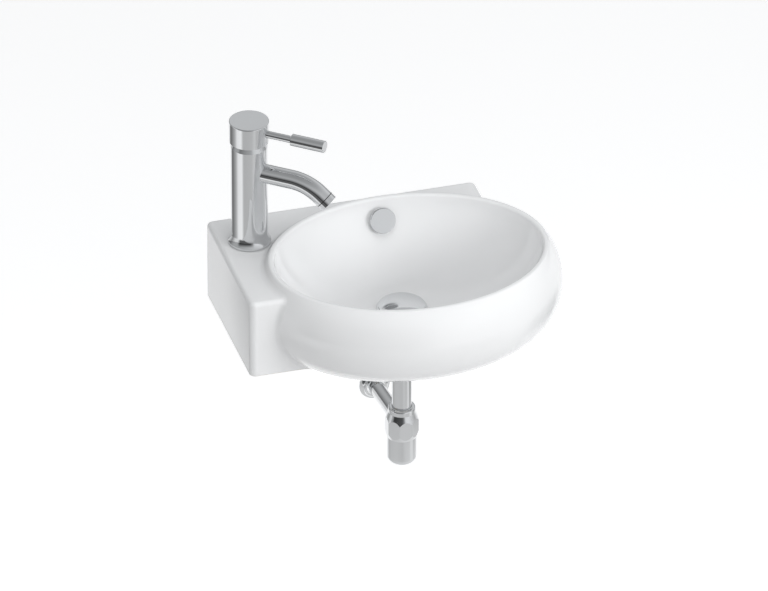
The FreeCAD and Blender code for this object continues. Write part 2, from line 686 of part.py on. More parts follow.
def rim_ovals(name, inset, top_rise, bottom):
    """Ovals of the rim's outside, drawn in by an inset, from the bottom up."""
    places = []
    rim_share = (widest - bottom) / under_drop
    for part in (1, 0.75, 0.5, 0.25):
        share = rim_share * part
        curl = 1 - root(1 - share * share)
        places.append((bulge_out - under_run * curl, widest - under_drop * share))
    for part in (0, 0.25, 0.5, 0.75, 1):
        rise = top_rise * part
        arc = root(upper_arc * upper_arc - rise * rise)
        places.append((bulge_out - upper_arc + arc, widest + rise))
    return mouth_ovals(name, [(offset - inset, height) for offset, height in places])


def mouth_ovals(name, places):
    """One oval round the bowl's mouth for each offset and height."""
    ovals = []
    for number, (offset, height) in enumerate(places):
        long_half = lip_half_length + offset
        short_half = lip_half_width + offset
        ovals.append(oval(f"{name}_{number}", long_half, short_half, -bowl_from_wall, height))
    return ovals


def lip_places(centre, across, up):
    """Points of an arc from a starting direction up to the crest."""
    places = []
    for part in (0, 0.3, 0.55, 0.8, 1):
        run = across * (1 - part)
        rise = up * (1 - part) + part
        length = root(run * run + rise * rise)
        places.append((centre + rim_round * run / length, mouth + rim_round * rise / length))
    return places


# Depth shares at which the bowl's inside is measured, and how fast it draws in.
bowl_shares = (0, 0.08, 0.2, 0.35, 0.5, 0.65, 0.8, 0.9, 0.96, 1)
bowl_flare = 1.3
bowl_roundness = 1.6

# Direction in which the lip's inner round leaves the bowl's wall
flare_up = as_size(0.44)
flare_across = -root(1 - flare_up * flare_up)


def bowl_ovals(name, wall, floor_wall, shares):
    """Ovals of the bowl's inside, grown by a wall, from the floor up."""
    items = []
    for number, share in enumerate(reversed(shares)):
        spread = (1 - share ** bowl_flare) ** (1 / bowl_roundness)
        long_half = floor_radius + (lip_half_length - floor_radius) * spread + wall
        short_half = floor_radius + (lip_half_width - floor_radius) * spread + wall
        middle = bowl_from_wall + (waste_from_wall - bowl_from_wall) * share ** 3
        height = mouth - (mouth - floor) * share - floor_wall * share ** 2
        items.append(oval(f"{name}_{number}", long_half, short_half, -middle, height))
    return items


def rounded_block():
    """The block behind and beside the bowl, with its corners and deck edge rounded."""
    block = box("block", (-block_left, -block_depth, block_bottom), (block_right, 0, deck_top))
    doc.recompute()
    upright = []
    for number, edge in enumerate(block.Shape.Edges, 1):
        if abs(edge.tangentAt(edge.FirstParameter).z) > 0.9:
            upright.append((number, corner_round.value, corner_round.value))
    corners = doc.addObject("Part::Fillet", "block_corners")
    corners.Base = block
    corners.Edges = upright
    doc.recompute()
    around = []
    for number, edge in enumerate(corners.Shape.Edges, 1):
        if edge.BoundBox.ZMin > deck_top.value - 1e-6:
            around.append((number, edge_round.value, edge_round.value))
    edged = doc.addObject("Part::Fillet", "block_edges")
    edged.Base = corners
    edged.Edges = around
    return edged


def joint_edges(shape):
    """Numbers of the edges where the curved rim meets the block, above the bottom."""
    numbers = []
    for number, edge in enumerate(shape.Edges, 1):
        faces = shape.ancestorsOfType(edge, Part.Face)
        curved = [face for face in faces if face.Surface.TypeId == "Part::GeomBSplineSurface"]
        on_bottom = edge.BoundBox.ZMax < block_bottom.value + 1e-6
        on_crest = edge.BoundBox.ZMin > crest.value - 1e-6
        if len(curved) == 1 and len(faces) == 2 and not on_bottom and not on_crest:
            numbers.append(number)
    return numbers


def fillet(name, base, numbers, radius):
    item = doc.addObject("Part::Fillet", name)
    item.Base = base
    item.Edges = [(number, radius.value, radius.value) for number in numbers]
    doc.recompute()
    return item


def duct(name, radius):
    """The overflow's run: down behind the bowl, round a knuckle, forward to the waste hole."""
    corner_y = -duct_back - duct_lean
    corner_z = floor - duct_below_floor
    drop = duct_top - corner_z
    slope = root(duct_lean * duct_lean + drop * drop)
    upper = rod(f"{name}_upper", radius, slope, 0, corner_y, corner_z, arc_tangent(duct_lean / drop))
    front = waste_y + waste_hole_radius - cut_over
    lower = rod(f"{name}_lower", radius, corner_y - front, 0, front, corner_z, as_size(90))
    knuckle = doc.addObject("Part::Sphere", f"{name}_knuckle")
    bind(knuckle, "Radius", radius * knuckle_share)
    bind(knuckle, "Placement.Base.y", corner_y)
    bind(knuckle, "Placement.Base.z", corner_z)
    bend = combine("Fuse", f"{name}_bend", upper, knuckle)
    return combine("Fuse", name, bend, lower)


def bowl_drills():
    """The tools that drill the ceramic, by name."""
    waste = rod("waste_hole", waste_hole_radius, waste_boss_length + 2 * cut_over, 0, waste_y,
                boss_seat - cut_over)
    tap = rod("tap_hole", tap_hole_radius, deck_thick + 2 * cut_over, tap_x, tap_y,
              deck_top - deck_thick - cut_over)
    tilt = 90 + overflow_tilt
    overflow = rod("overflow_hole", overflow_hole_radius, overflow_insert_length + 2 * cut_over, 0,
                   overflow_at(cut_over, 0)[0], overflow_at(cut_over, 0)[1], tilt)
    bolts = []
    for name, side in (("left", -1), ("right", 1)):
        bolts.append(rod(f"bolt_hole_{name}", bolt_hole_radius, ceramic_wall + 2 * cut_over,
                         bolt_spacing * (side * 0.5), -ceramic_wall - cut_over, 0, as_size(90)))
    return [waste, tap, overflow] + bolts


def basin_body():
    """The ceramic: block and rim blended, hollowed from below, bowl put in, then drilled."""
    side = loft("rim_side", rim_ovals("side", 0, lip_foot, block_bottom))
    lip = loft("rim_lip", mouth_ovals("lip", lip_places(lip_centre, lip_across, lip_up)), True)
    outside = combine("Fuse", "rim_outside", side, lip)
    joined = combine("Fuse", "block_and_rim", rounded_block(), outside)
    doc.recompute()
    blended = fillet("blend", joined, joint_edges(joined.Shape), blend_round)
    low = (ceramic_wall - block_left, ceramic_wall - block_depth, block_bottom - cut_over)
    high = (block_right - ceramic_wall, -ceramic_wall, deck_top - deck_thick)
    under_block = box("under_block", low, high)
    hollow_rise = deck_top - hollow_top - widest
    under_rim = loft("under_rim", rim_ovals("inset", ceramic_wall, hollow_rise, block_bottom - cut_over))
    carcass = combine("Cut", "block_hollow", blended, under_block)
    carcass = combine("Cut", "rim_hollow", carcass, under_rim)
    shell = loft("bowl_shell", bowl_ovals("shell", ceramic_wall, floor_thick, bowl_shares[1:]))
    boss_height = waste_boss_length - floor_thick * 0.5
    boss = rod("waste_boss", waste_boss_radius, boss_height, 0, waste_y, boss_seat)
    whole = combine("Fuse", "with_bowl", carcass, shell)
    whole = combine("Fuse", "with_boss", whole, boss)
    whole = combine("Fuse", "with_duct", whole, duct("duct_outside", duct_radius))
    ovals = bowl_ovals("bowl", as_size(0), as_size(0), bowl_shares)
    neck = mouth_ovals("neck", [(as_size(0), crest + cut_over)])
    whole = combine("Cut", "with_bowl_hollow", whole, loft("bowl_hollow", ovals + neck))
    places = lip_places(rim_round, flare_across, flare_up)
    lead_in = (places[0][0] - cut_over * 0.5, places[0][1] - cut_over)
    flare = loft("bowl_flare", mouth_ovals("flare", [lead_in] + places), True)
    whole = combine("Cut", "with_mouth", whole, flare)
    whole = combine("Cut", "with_passage", whole, duct("duct_inside", duct_bore))
    for tool in bowl_drills():
        whole = combine("Cut", f"with_{tool.Name}", whole, tool)
    whole.Label = "basin_body"
    return whole


def bolt_bush(name, side):
    """A plastic bush in the back wall, with its flange on the inside."""
    body = new_body(name, bolt_spacing * (side * 0.5), 0, 0, as_size(90))
    sleeve = bolt_hole_radius - fit_gap
    inside = -ceramic_wall - bush_flange_thick
    corners = [(0, bush_bore), (0, sleeve), (-ceramic_wall, sleeve), (-ceramic_wall, bush_flange_radius),
               (inside, bush_flange_radius), (inside, bush_bore)]
    revolve(body, corners, "H_Axis")
    return body


def overflow_insert():
    """A sleeve in the overflow hole with a thin flange against the bowl."""
    body = new_body("overflow_insert")
    outer = overflow_hole_radius - fit_gap
    inner = outer - overflow_insert_wall
    front = overflow_insert_stand + overflow_insert_thick
    steps = [(-overflow_insert_length, inner), (-overflow_insert_length, outer),
             (overflow_insert_stand, outer), (overflow_insert_stand, overflow_insert_flange),
             (front, overflow_insert_flange), (front, inner)]
    corners = [overflow_at(along, out) for along, out in steps]
    revolve_about(body, "YZ_Plane", overflow_at(0, 0), overflow_at(10, 0), corners)
    return body


def overflow_cap():
    """A disc that stands off the bowl on two clip legs, so that water runs in behind it."""
    body = new_body("overflow_cap")
    front = overflow_cap_stand + overflow_cap_thick
    steps = [(overflow_cap_stand, 0), (overflow_cap_stand, overflow_cap_radius),
             (front - overflow_cap_bevel, overflow_cap_radius),
             (front, overflow_cap_radius - overflow_cap_bevel), (front, 0)]
    corners = [overflow_at(along, out) for along, out in steps]
    revolve_about(body, "YZ_Plane", overflow_at(0, 0), overflow_at(10, 0), corners)
    leg_outer = overflow_hole_radius - overflow_insert_wall - 2 * fit_gap
    leg_inner = leg_outer - overflow_leg_wall
    back = fit_gap - overflow_insert_length
    for side in (1, -1):
        steps = [(back, leg_inner), (back, leg_outer), (overflow_cap_stand, leg_outer),
                 (overflow_cap_stand, leg_inner)]
        corners = [overflow_at(along, out * side) for along, out in steps]
        leg = revolve_about(body, "YZ_Plane", overflow_at(0, 0), overflow_at(10, 0), corners)
        leg.Midplane = True
        bind(leg, "Angle", overflow_leg_angle)
    return body


def overflow_at(along, out):
    """A point by its distance out of the bowl's face and its distance off the overflow's axis."""
    share = (overflow_drop - rim_round) / (mouth - floor)
    spread = power(1 - power(share, bowl_flare), 1 / bowl_roundness)
    middle = bowl_from_wall + (waste_from_wall - bowl_from_wall) * power(share, 3)
    face = middle - floor_radius - (lip_half_width - floor_radius) * spread
    lean = cosine(overflow_tilt)
    rise = sine(overflow_tilt)
    return (-face - lean * along + rise * out, crest - overflow_drop + rise * along + lean * out)


def waste_piece(name):
    return new_body(name, 0, waste_y, 0)


def ring(name, inner, outer, bottom, top):
    """A plain ring on the waste's axis."""
    body = waste_piece(name)
    revolve(body, box_between((inner, bottom), (outer, top)))
    return body


def waste_body():
    """Flange, threaded tube with overflow slots, and crossed bars that carry the latch."""
    body = waste_piece("waste_body")
    rim = flange_top - waste_flange_drop
    revolve(body, [(tube_bore, tube_end), (waste_tube_radius, tube_end),
                   (waste_tube_radius, flange_bottom), (waste_flange_radius, flange_bottom),
                   (waste_flange_radius, rim), (waste_flange_radius - waste_flange_bevel, flange_top),
                   (tube_bore + waste_throat, flange_top), (tube_bore, flange_top - waste_throat)])
    half = waste_slot_width * 0.5
    slot_low = floor - duct_below_floor - waste_slot_height * 0.5
    window = box_between((-half, slot_low), (half, slot_low + waste_slot_height))
    for plane in ("XZ_Plane", "YZ_Plane"):
        pocket(body, plane, [window], waste_tube_radius + cut_over, 2 * (waste_tube_radius + cut_over))
    bar = waste_bar_width * 0.5
    reach = waste_tube_radius - waste_tube_wall * 0.5
    bar_foot = floor - waste_bar_drop
    pad(body, "XY_Plane", [box_between((-reach, -bar), (reach, bar))], bar_foot, waste_bar_height)
    pad(body, "XY_Plane", [box_between((-bar, -reach), (bar, reach))], bar_foot, waste_bar_height)
    pad(body, "XY_Plane", [((0, 0), waste_hub_radius)], bar_foot, waste_bar_height)
    hub_hole = barrel_radius + fit_gap
    pocket(body, "XY_Plane", [((0, 0), hub_hole)], bar_foot + waste_bar_height, waste_bar_height)
    return body


def waste_washers():
    """Seal above the ceramic, and the rubber and plastic washers below it."""
    inner = waste_tube_radius + fit_gap
    seal = ring("waste_flange_seal", inner, waste_seal_radius, floor, flange_bottom)
    rubber = waste_piece("waste_taper_washer")
    foot = boss_seat - taper_washer_thick
    middle = boss_seat - taper_washer_thick * 0.5
    revolve(rubber, [(inner, foot), (slip_washer_radius, foot), (taper_washer_radius, middle),
                     (taper_washer_radius, boss_seat), (inner, boss_seat)])
    slip = ring("waste_slip_washer", inner, slip_washer_radius, foot - slip_washer_thick, foot)
    return [seal, rubber, slip]


def waste_back_nut():
    body = waste_piece("waste_back_nut")
    top = boss_seat - taper_washer_thick - slip_washer_thick
    foot = top - back_nut_height
    pad(body, "XY_Plane", [hexagon(back_nut_radius)], foot, back_nut_height)
    pocket(body, "XY_Plane", [((0, 0), waste_tube_radius + fit_gap)], top, back_nut_height)
    return body


def latch_barrel():
    """The barrel that holds the plug's piston and spring."""
    body = waste_piece("latch_barrel")
    inside = barrel_bottom + barrel_floor
    revolve(body, [(0, barrel_bottom), (barrel_radius, barrel_bottom), (barrel_radius, barrel_top),
                   (barrel_bore, barrel_top), (barrel_bore, inside), (0, inside)])
    return body


def latch_ring():
    inner = plug_stem_radius + running_gap
    return ring("latch_ring", inner, barrel_bore - fit_gap, barrel_top - latch_ring_height, barrel_top)


def latch_spring():
    """A wire coil between the barrel's floor and the piston, through rings along its path."""
    low = barrel_bottom + barrel_floor + spring_wire
    room = spring_room - 2 * spring_wire
    mean = barrel_bore - spring_wire - running_gap
    count = round(spring_turns.value * rings_per_turn)
    rings = []
    for number in range(count + 1):
        angle = 2 * math.pi * number / rings_per_turn
        item = doc.addObject("Part::Circle", f"spring_ring_{number}")
        bind(item, "Radius", spring_wire)
        item.Placement.Rotation = FreeCAD.Rotation(math.degrees(angle), 0, 90)
        bind(item, "Placement.Base.x", mean * math.cos(angle))
        bind(item, "Placement.Base.y", waste_y + mean * math.sin(angle))
        bind(item, "Placement.Base.z", low + room * (number / count))
        rings.append(item)
    return loft("latch_spring", rings, True)


def plug_stem():
    """Piston and stem, screwed into the plug's boss."""
    body = waste_piece("plug_stem")
    piston = barrel_bore - running_gap
    top = plug_under - plug_lift
    revolve(body, [(0, piston_foot), (piston, piston_foot), (piston, piston_top),
                   (plug_stem_radius, piston_top), (plug_stem_radius, top), (0, top)])
    return body


def plug_cap():
    """The domed plug with the boss underneath."""
    body = waste_piece("plug_cap")
    hole = plug_stem_radius + fit_gap
    hole_top = plug_under - plug_lift + fit_gap
    boss_foot = plug_under - plug_boss_length
    rise = plug_crown - plug_edge
    slant = plug_radius * plug_radius + rise * rise
    sphere = slant / (2 * rise)
    dome = sphere - root(sphere * sphere - slant / 4)
    revolve(body, [(0, hole_top), (hole, hole_top), (hole, boss_foot), (plug_boss_radius, boss_foot),
                   (plug_boss_radius, plug_under), (plug_radius, plug_under),
                   (plug_radius, plug_under + plug_edge, dome), (0, plug_under + plug_crown)])
    return body


def plug_seal():
    """The rubber ring that closes on the throat's bevel."""
    body = waste_piece("plug_seal")
    inner = plug_boss_radius + fit_gap
    foot = plug_under - plug_seal_thick
    bevel = plug_seal_thick * plug_seal_bevel
    revolve(body, [(inner, foot), (plug_seal_radius - bevel, foot), (plug_seal_radius, foot + bevel),
                   (plug_seal_radius, plug_under), (inner, plug_under)])
    return body


def trap_inlet():
    """Nut, seal and flanged tail pipe under the waste."""
    seal_foot = tube_end - joint_seal_thick
    flange_foot = seal_foot - tail_flange_thick
    lip_foot = flange_foot - inlet_nut_lip
    thread = waste_tube_radius + fit_gap
    flange = waste_tube_radius - fit_gap
    tail_bore = tail_radius - tail_wall
    seal = ring("trap_inlet_seal", tail_bore, flange, seal_foot, tube_end)
    pipe = waste_piece("trap_tail_pipe")
    end = trap_top - tail_dip
    revolve(pipe, [(tail_bore, end), (tail_radius, end), (tail_radius, flange_foot),
                   (flange, flange_foot), (flange, seal_foot), (tail_bore, seal_foot)])
    nut = waste_piece("trap_inlet_nut")
    hole = tail_radius + running_gap
    top = tube_end + inlet_nut_grip
    revolve(nut, [(hole, lip_foot), (inlet_nut_radius, lip_foot), (inlet_nut_radius, top), (thread, top),
                  (thread, flange_foot), (hole, flange_foot)])
    round_rims(nut, [(inlet_nut_radius, lip_foot)], inlet_nut_lip * nut_foot_round)
    return [seal, pipe, nut]


def trap_collar_nut():
    """The round nut that closes the trap's neck on the tail pipe."""
    body = waste_piece("trap_collar_nut")
    hole = tail_radius + running_gap
    thread = neck_radius + fit_gap
    lip_foot = trap_top - trap_collar_lip
    revolve(body, [(thread, trap_collar_bottom), (trap_collar_radius, trap_collar_bottom),
                   (trap_collar_radius, trap_top), (hole, trap_top), (hole, lip_foot), (thread, lip_foot)])
    round_rims(body, [(trap_collar_radius, trap_top)], trap_collar_round)
    return body


def trap_collar_seal():
    top = trap_top - trap_collar_lip
    return ring("trap_collar_seal", tail_radius + fit_gap, neck_radius, top - trap_collar_seal_thick, top)


def bevel_corners(body, edge, level, height):
    """Turn a sloping cut off the trap body's corners; the height's sign says which way it runs."""
    beyond = trap_body_radius + cut_over
    depth = height * (beyond - edge) / (trap_body_radius - edge)
    groove(body, [(edge, level), (beyond, level), (beyond, level + depth)])


def outlet_at(along, out):
    """A point by its distance along the falling outlet pipe and its distance off the pipe's axis."""
    ahead = cosine(outlet_fall)
    down = sine(outlet_fall)
    return (ahead * along + down * out, outlet_z - down * along + ahead * out)


def outlet_turning(body, steps, kind="Revolution"):
    """A turned shape on the outlet pipe's axis."""
    corners = [outlet_at(along, out) for along, out in steps]
    return revolve_about(body, "YZ_Plane", outlet_at(0, 0), outlet_at(outlet_collar_end, 0), corners, kind)


def trap_body():
    """The eight-sided body: neck on top, chamber inside, bottle thread below, outlet to the wall."""
    body = waste_piece("trap_body")
    pad(body, "XY_Plane", [octagon(trap_body_radius)], trap_body_bottom, trap_body_height)
    bevel_corners(body, trap_collar_radius, trap_collar_bottom, -trap_body_top_bevel)
    bevel_corners(body, bottle_radius, trap_body_bottom, trap_body_foot_bevel)
    neck_top = trap_top - trap_collar_lip - trap_collar_seal_thick
    pad(body, "XY_Plane", [((0, 0), neck_radius)], trap_collar_bottom, neck_top - trap_collar_bottom)
    collar = outlet_radius + outlet_collar
    outlet_turning(body, box_between((trap_chamber_radius, 0), (outlet_collar_end, collar)))
    hole = tail_radius + running_gap
    pocket(body, "XY_Plane", [((0, 0), hole)], neck_top, neck_top - trap_body_bottom)
    chamber_top = trap_collar_bottom - trap_body_top_wall
    pocket(body, "XY_Plane", [((0, 0), trap_chamber_radius)], chamber_top, chamber_top - trap_body_bottom)
    socket_top = bottle_neck_top + bottle_seal_thick
    socket = bottle_neck_radius + fit_gap
    pocket(body, "XY_Plane", [((0, 0), socket)], socket_top, socket_top - trap_body_bottom)
    bore = outlet_radius + fit_gap
    outlet_turning(body, box_between((0, 0), (outlet_collar_end + cut_over, bore)), "Groove")
    return body


def trap_bottle():
    """The cup that unscrews from below for cleaning."""
    body = waste_piece("trap_bottle")
    foot = trap_body_bottom - bottle_height
    inside = foot + bottle_floor
    slope_top = foot + bottle_round
    slope_end = bottle_radius - bottle_round
    revolve(body, [(0, foot), (bottle_radius, foot), (bottle_radius, trap_body_bottom),
                   (bottle_neck_radius, trap_body_bottom), (bottle_neck_radius, bottle_neck_top),
                   (bottle_bore, bottle_neck_top), (bottle_bore, slope_top), (slope_end, inside),
                   (0, inside)])
    round_rims(body, [(bottle_radius, foot)], bottle_round)
    seal_top = bottle_neck_top + bottle_seal_thick
    seal = ring("trap_bottle_seal", bottle_bore + fit_gap, bottle_neck_radius, bottle_neck_top, seal_top)
    return [body, seal]


def trap_outlet():
    """Outlet pipe that falls to the wall, and the dished flange that hides the hole."""
    pipe = waste_piece("trap_outlet_pipe")
    start = trap_body_radius * math.cos(math.pi / 8)
    inner = outlet_radius - outlet_wall
    finish = waste_from_wall / cosine(outlet_fall) + outlet_behind
    shoulder = finish - outlet_end_length
    outlet_turning(pipe, [(start, inner), (start, outlet_radius), (shoulder, outlet_radius),
                          (shoulder, outlet_end_radius), (finish, outlet_end_radius), (finish, inner)])
    wall_z = outlet_z - waste_from_wall * sine(outlet_fall) / cosine(outlet_fall)
    flange = new_body("wall_flange", 0, 0, wall_z, as_size(90))
    hole = outlet_radius + flange_play
    collar = hole + flange_collar
    revolve(flange, [(0, hole), (0, flange_radius), (-flange_edge, flange_radius, -flange_dish),
                     (-flange_depth, collar), (-flange_depth, hole)], "H_Axis")
    return [pipe, flange]


def tap_piece(name, z=0):
    """A body on the tap's axis whose own X axis points along the spout."""
    return new_body(name, tap_x, tap_y, deck_top + z, -tap_turn)


def tap_ring(name, inner, outer, bottom, top):
    body = tap_piece(name)
    revolve(body, box_between((inner, bottom), (outer, top)))
    return body


def inlet_places():
    return [(-inlet_back, inlet_side), (-inlet_back, -inlet_side)]


def tap_body():
    """The turned brass body with its cartridge chamber, waterways and threads."""
    body = tap_piece("tap_body")
    revolve(body, [(0, -spigot_length), (spigot_radius, -spigot_length), (spigot_radius, base_seal_thick),
                   (foot_radius, base_seal_thick), (foot_radius, base_ring_height),
                   (tap_radius, base_ring_height), (tap_radius, tap_top), (chamber_radius, tap_top),
                   (chamber_radius, chamber_floor), (0, chamber_floor)])
    waterways = [(place, port_radius) for place in inlet_places()]
    pocket(body, "XY_Plane", waterways, chamber_floor, chamber_floor + spigot_length)
    threads = [(place, inlet_thread_radius) for place in inlet_places()]
    thread_top = inlet_thread_length - spigot_length
    pocket(body, "XY_Plane", threads, thread_top, inlet_thread_length)
    outlet = ((outlet_ahead, 0), port_radius)
    pocket(body, "XY_Plane", [outlet], chamber_floor, chamber_floor - spout_height)
    across = tap_radius - outlet_ahead + waterway_radius
    pocket(body, "YZ_Plane", [((0, spout_height), waterway_radius)], tap_radius, across)
    socket = ((0, spout_height), spout_bore + socket_wall + fit_gap)
    pocket(body, "YZ_Plane", [socket], tap_radius, socket_depth + fit_gap)
    stud = ((stud_ahead, 0), stud_radius + fit_gap)
    pocket(body, "XY_Plane", [stud], stud_hold + fit_gap, stud_hold + fit_gap + spigot_length)
    return body


def tap_base():
    """The flared ring at the deck and the seal under it."""
    ring_body = tap_piece("tap_base_ring")
    inner = foot_radius + fit_gap
    edge_top = base_seal_thick + base_ring_edge
    flare = base_ring_radius - tap_radius
    rise = base_ring_height - edge_top
    hollow = (root(flare * flare + rise * rise) - rise) * rise / (2 * flare)
    revolve(ring_body, [(inner, base_seal_thick), (base_ring_radius, base_seal_thick),
                        (base_ring_radius, edge_top, -hollow), (tap_radius, base_ring_height),
                        (inner, base_ring_height)])
    seal = tap_ring("tap_base_seal", tap_hole_radius, base_seal_radius, 0, base_seal_thick)
    return [ring_body, seal]


def spout_tip(along, out):
    """A point by its distance past the spout's end and its distance off the tip's axis."""
    bend_x = spout_straight + spout_bend * sine(spout_angle)
    bend_z = spout_height - spout_bend * (1 - cosine(spout_angle))
    ahead = cosine(spout_angle)
    down = sine(spout_angle)
    past = spout_end + along
    return (bend_x + ahead * past + down * out, bend_z - down * past + ahead * out)


def spout_path(body):
    """Straight out of the tap body, an even bend downwards, and a short straight end."""
    path = new_sketch(body, "XZ_Plane")
    start = (as_size(0), spout_height)
    bend_start = (spout_straight, spout_height)
    centre = (spout_straight, spout_height - spout_bend)
    circle = Part.Circle(flat(centre), FreeCAD.Vector(0, 0, 1), spout_bend.value)
    end_angle = math.pi / 2 - math.radians(spout_angle.value)
    path.addGeometry(Part.LineSegment(flat(start), flat(bend_start)), False)
    path.addGeometry(Part.ArcOfCircle(circle, end_angle, math.pi / 2), False)
    path.addGeometry(Part.LineSegment(flat(spout_tip(-spout_end, 0)), flat(spout_tip(0, 0))), False)
    path.addConstraint(Sketcher.Constraint("Coincident", 0, 2, 1, 2))
    path.addConstraint(Sketcher.Constraint("Coincident", 1, 1, 2, 1))
    bend = path.addConstraint(Sketcher.Constraint("Radius", 1, spout_bend.value))
    path.setExpression(f"Constraints[{bend}]", spout_bend.text)
    pin(path, 0, 1, start)
    pin(path, 0, 2, bend_start)
    pin(path, 1, 1, spout_tip(-spout_end, 0))
    pin(path, 2, 2, spout_tip(0, 0))
    return path


def spout_pipe(body, kind, radius, path):
    sketch = new_sketch(body, "YZ_Plane")
    draw_circle(sketch, (0, spout_height), radius)
    pipe = body.newObject(f"PartDesign::{kind}", f"{body.Name}_{kind.lower()}")
    pipe.Profile = sketch
    pipe.Spine = (path, ["Edge1", "Edge2", "Edge3"])
    body.Tip = pipe
    return pipe


def tap_spout():
    """A bent tube that saddles the tap body, with a spigot that goes into it."""
    body = tap_piece("tap_spout")
    path = spout_path(body)
    spout_pipe(body, "AdditivePipe", spout_radius, path)
    saddle_top = spout_height + spout_radius + cut_over
    pocket(body, "XY_Plane", [((0, 0), tap_radius)], saddle_top, 2 * (spout_radius + cut_over))
    spigot_start = tap_radius - socket_depth
    spigot = ((0, spout_height), spout_bore + socket_wall)
    pad(body, "YZ_Plane", [spigot], spigot_start, socket_depth + spout_radius)
    doc.recompute()
    spout_pipe(body, "SubtractivePipe", spout_bore, path)
    return body


def tip_piece(name, steps):
    """A turned piece on the axis of the spout's tip."""
    body = tap_piece(name)
    corners = [spout_tip(along, out) for along, out in steps]
    revolve_about(body, "XZ_Plane", spout_tip(0, 0), spout_tip(10, 0), corners)
    return body


def aerator():
    """Washer, screwed ring and the ribbed core that mixes air in."""
    washer = tip_piece("aerator_washer", box_between((0, spout_bore), (aerator_washer_thick, spout_radius)))
    shank = spout_bore - fit_gap
    bore = shank - aerator_wall
    lip = aerator_washer_thick + aerator_length
    mouth = spout_radius - aerator_lip
    core_end = lip - aerator_lip
    ring_body = tip_piece("aerator_ring", [(-aerator_shank, bore), (-aerator_shank, shank),
                                           (aerator_washer_thick, shank),
                                           (aerator_washer_thick, spout_radius), (lip, spout_radius),
                                           (lip, mouth), (core_end, mouth), (core_end, bore)])
    core = bore - fit_gap
    hub = core * aerator_hub
    core_body = tip_piece("aerator_core", [(aerator_washer_thick, hub), (aerator_washer_thick, core),
                                           (core_end, core), (core_end, hub)])
    return [washer, ring_body, core_body]


def cartridge_seals():
    """One small ring under each port of the cartridge."""
    places = inlet_places() + [(outlet_ahead, as_size(0))]
    outer = port_radius + port_seal_wall
    seals = []
    for name, place in zip(("inlet_left", "inlet_right", "outlet"), places):
        body = tap_piece(f"port_seal_{name}")
        pad(body, "XY_Plane", [(place, outer)], chamber_floor, port_seal_thick)
        pocket(body, "XY_Plane", [(place, port_radius)], cartridge_foot, port_seal_thick)
        seals.append(body)
    return seals


def ported_disc(name, radius, foot, height, port):
    """A disc with the two inlet ports and the outlet port."""
    body = tap_piece(name)
    pad(body, "XY_Plane", [((0, 0), radius)], foot, height)
    ports = [(place, port) for place in inlet_places() + [(outlet_ahead, 0)]]
    pocket(body, "XY_Plane", ports, foot + height, height)
    return body


def moving_disc():
    """The upper disc: a shallow hollow underneath joins the ports as it slides."""
    body = tap_piece("moving_disc")
    pad(body, "XY_Plane", [((0, 0), moving_disc_radius)], moving_disc_foot, disc_height)
    hollow = moving_disc_radius * mixing_share
    pocket(body, "XY_Plane", [((0, 0), hollow)], moving_disc_foot + mixing_depth, mixing_depth)
    return body


def disc_carrier():
    """The plate that carries the upper disc and takes the stem's lower end in its pocket."""
    body = tap_piece("disc_carrier")
    pad(body, "XY_Plane", [((0, 0), moving_disc_radius)], carrier_foot, carrier_height)
    deep = stem_tip_deep + stem_tip_play
    wide = stem_tip_wide + running_gap
    opening = box_between((-deep, -wide), (deep, wide))
    pocket(body, "XY_Plane", [opening], carrier_top, carrier_height - carrier_floor)
    return body


def cartridge_housing():
    """The cup that holds the discs down and the rotor in."""
    body = tap_piece("cartridge_housing")
    hole = rotor_radius + running_gap
    lid_foot = housing_lid - housing_top
    revolve(body, [(housing_bore, disc_seat), (cartridge_radius, disc_seat), (cartridge_radius, housing_lid),
                   (hole, housing_lid), (hole, lid_foot), (housing_bore, lid_foot)])
    return body


def cartridge_rotor():
    """The part that turns in the housing, with a slot for the stem and a hole for its pin."""
    body = tap_piece("cartridge_rotor")
    revolve(body, [(0, rotor_foot), (rotor_flange, rotor_foot), (rotor_flange, rotor_shoulder),
                   (rotor_radius, rotor_shoulder), (rotor_radius, tap_top), (0, tap_top)])
    wide = stem_half_wide + running_gap
    slot = box_between((-rotor_slot, -wide), (rotor_slot, wide))
    pocket(body, "XY_Plane", [slot], tap_top, tap_top - rotor_foot)
    hole = ((0, pivot_height), pivot_radius + fit_gap)
    pocket(body, "XZ_Plane", [hole], rotor_radius, 2 * rotor_radius)
    return body


def pivot_pin():
    body = tap_piece("pivot_pin")
    half = rotor_radius - pivot_short
    pad(body, "XZ_Plane", [((0, pivot_height), pivot_radius)], -half, 2 * half)
    return body


def cartridge_stem():
    """The flat bar that the handle rocks: pinned in the rotor, its foot in the carrier."""
    body = tap_piece("cartridge_stem")
    tip_foot = carrier_foot + carrier_floor + running_gap
    tip_top = tip_foot + stem_tip_length
    shaft = box_between((-stem_half_deep, -stem_half_wide), (stem_half_deep, stem_half_wide))
    pad(body, "XY_Plane", [shaft], tip_top, stem_top - tip_top)
    tip = box_between((-stem_tip_deep, -stem_tip_wide), (stem_tip_deep, stem_tip_wide))
    pad(body, "XY_Plane", [tip], tip_foot, stem_tip_length)
    hole = ((0, pivot_height), pivot_radius + pin_gap)
    pocket(body, "XZ_Plane", [hole], stem_half_wide, 2 * stem_half_wide)
    return body


def cartridge_nut():
    return tap_ring("cartridge_nut", nut_bore, chamber_radius - fit_gap, housing_lid, tap_top)


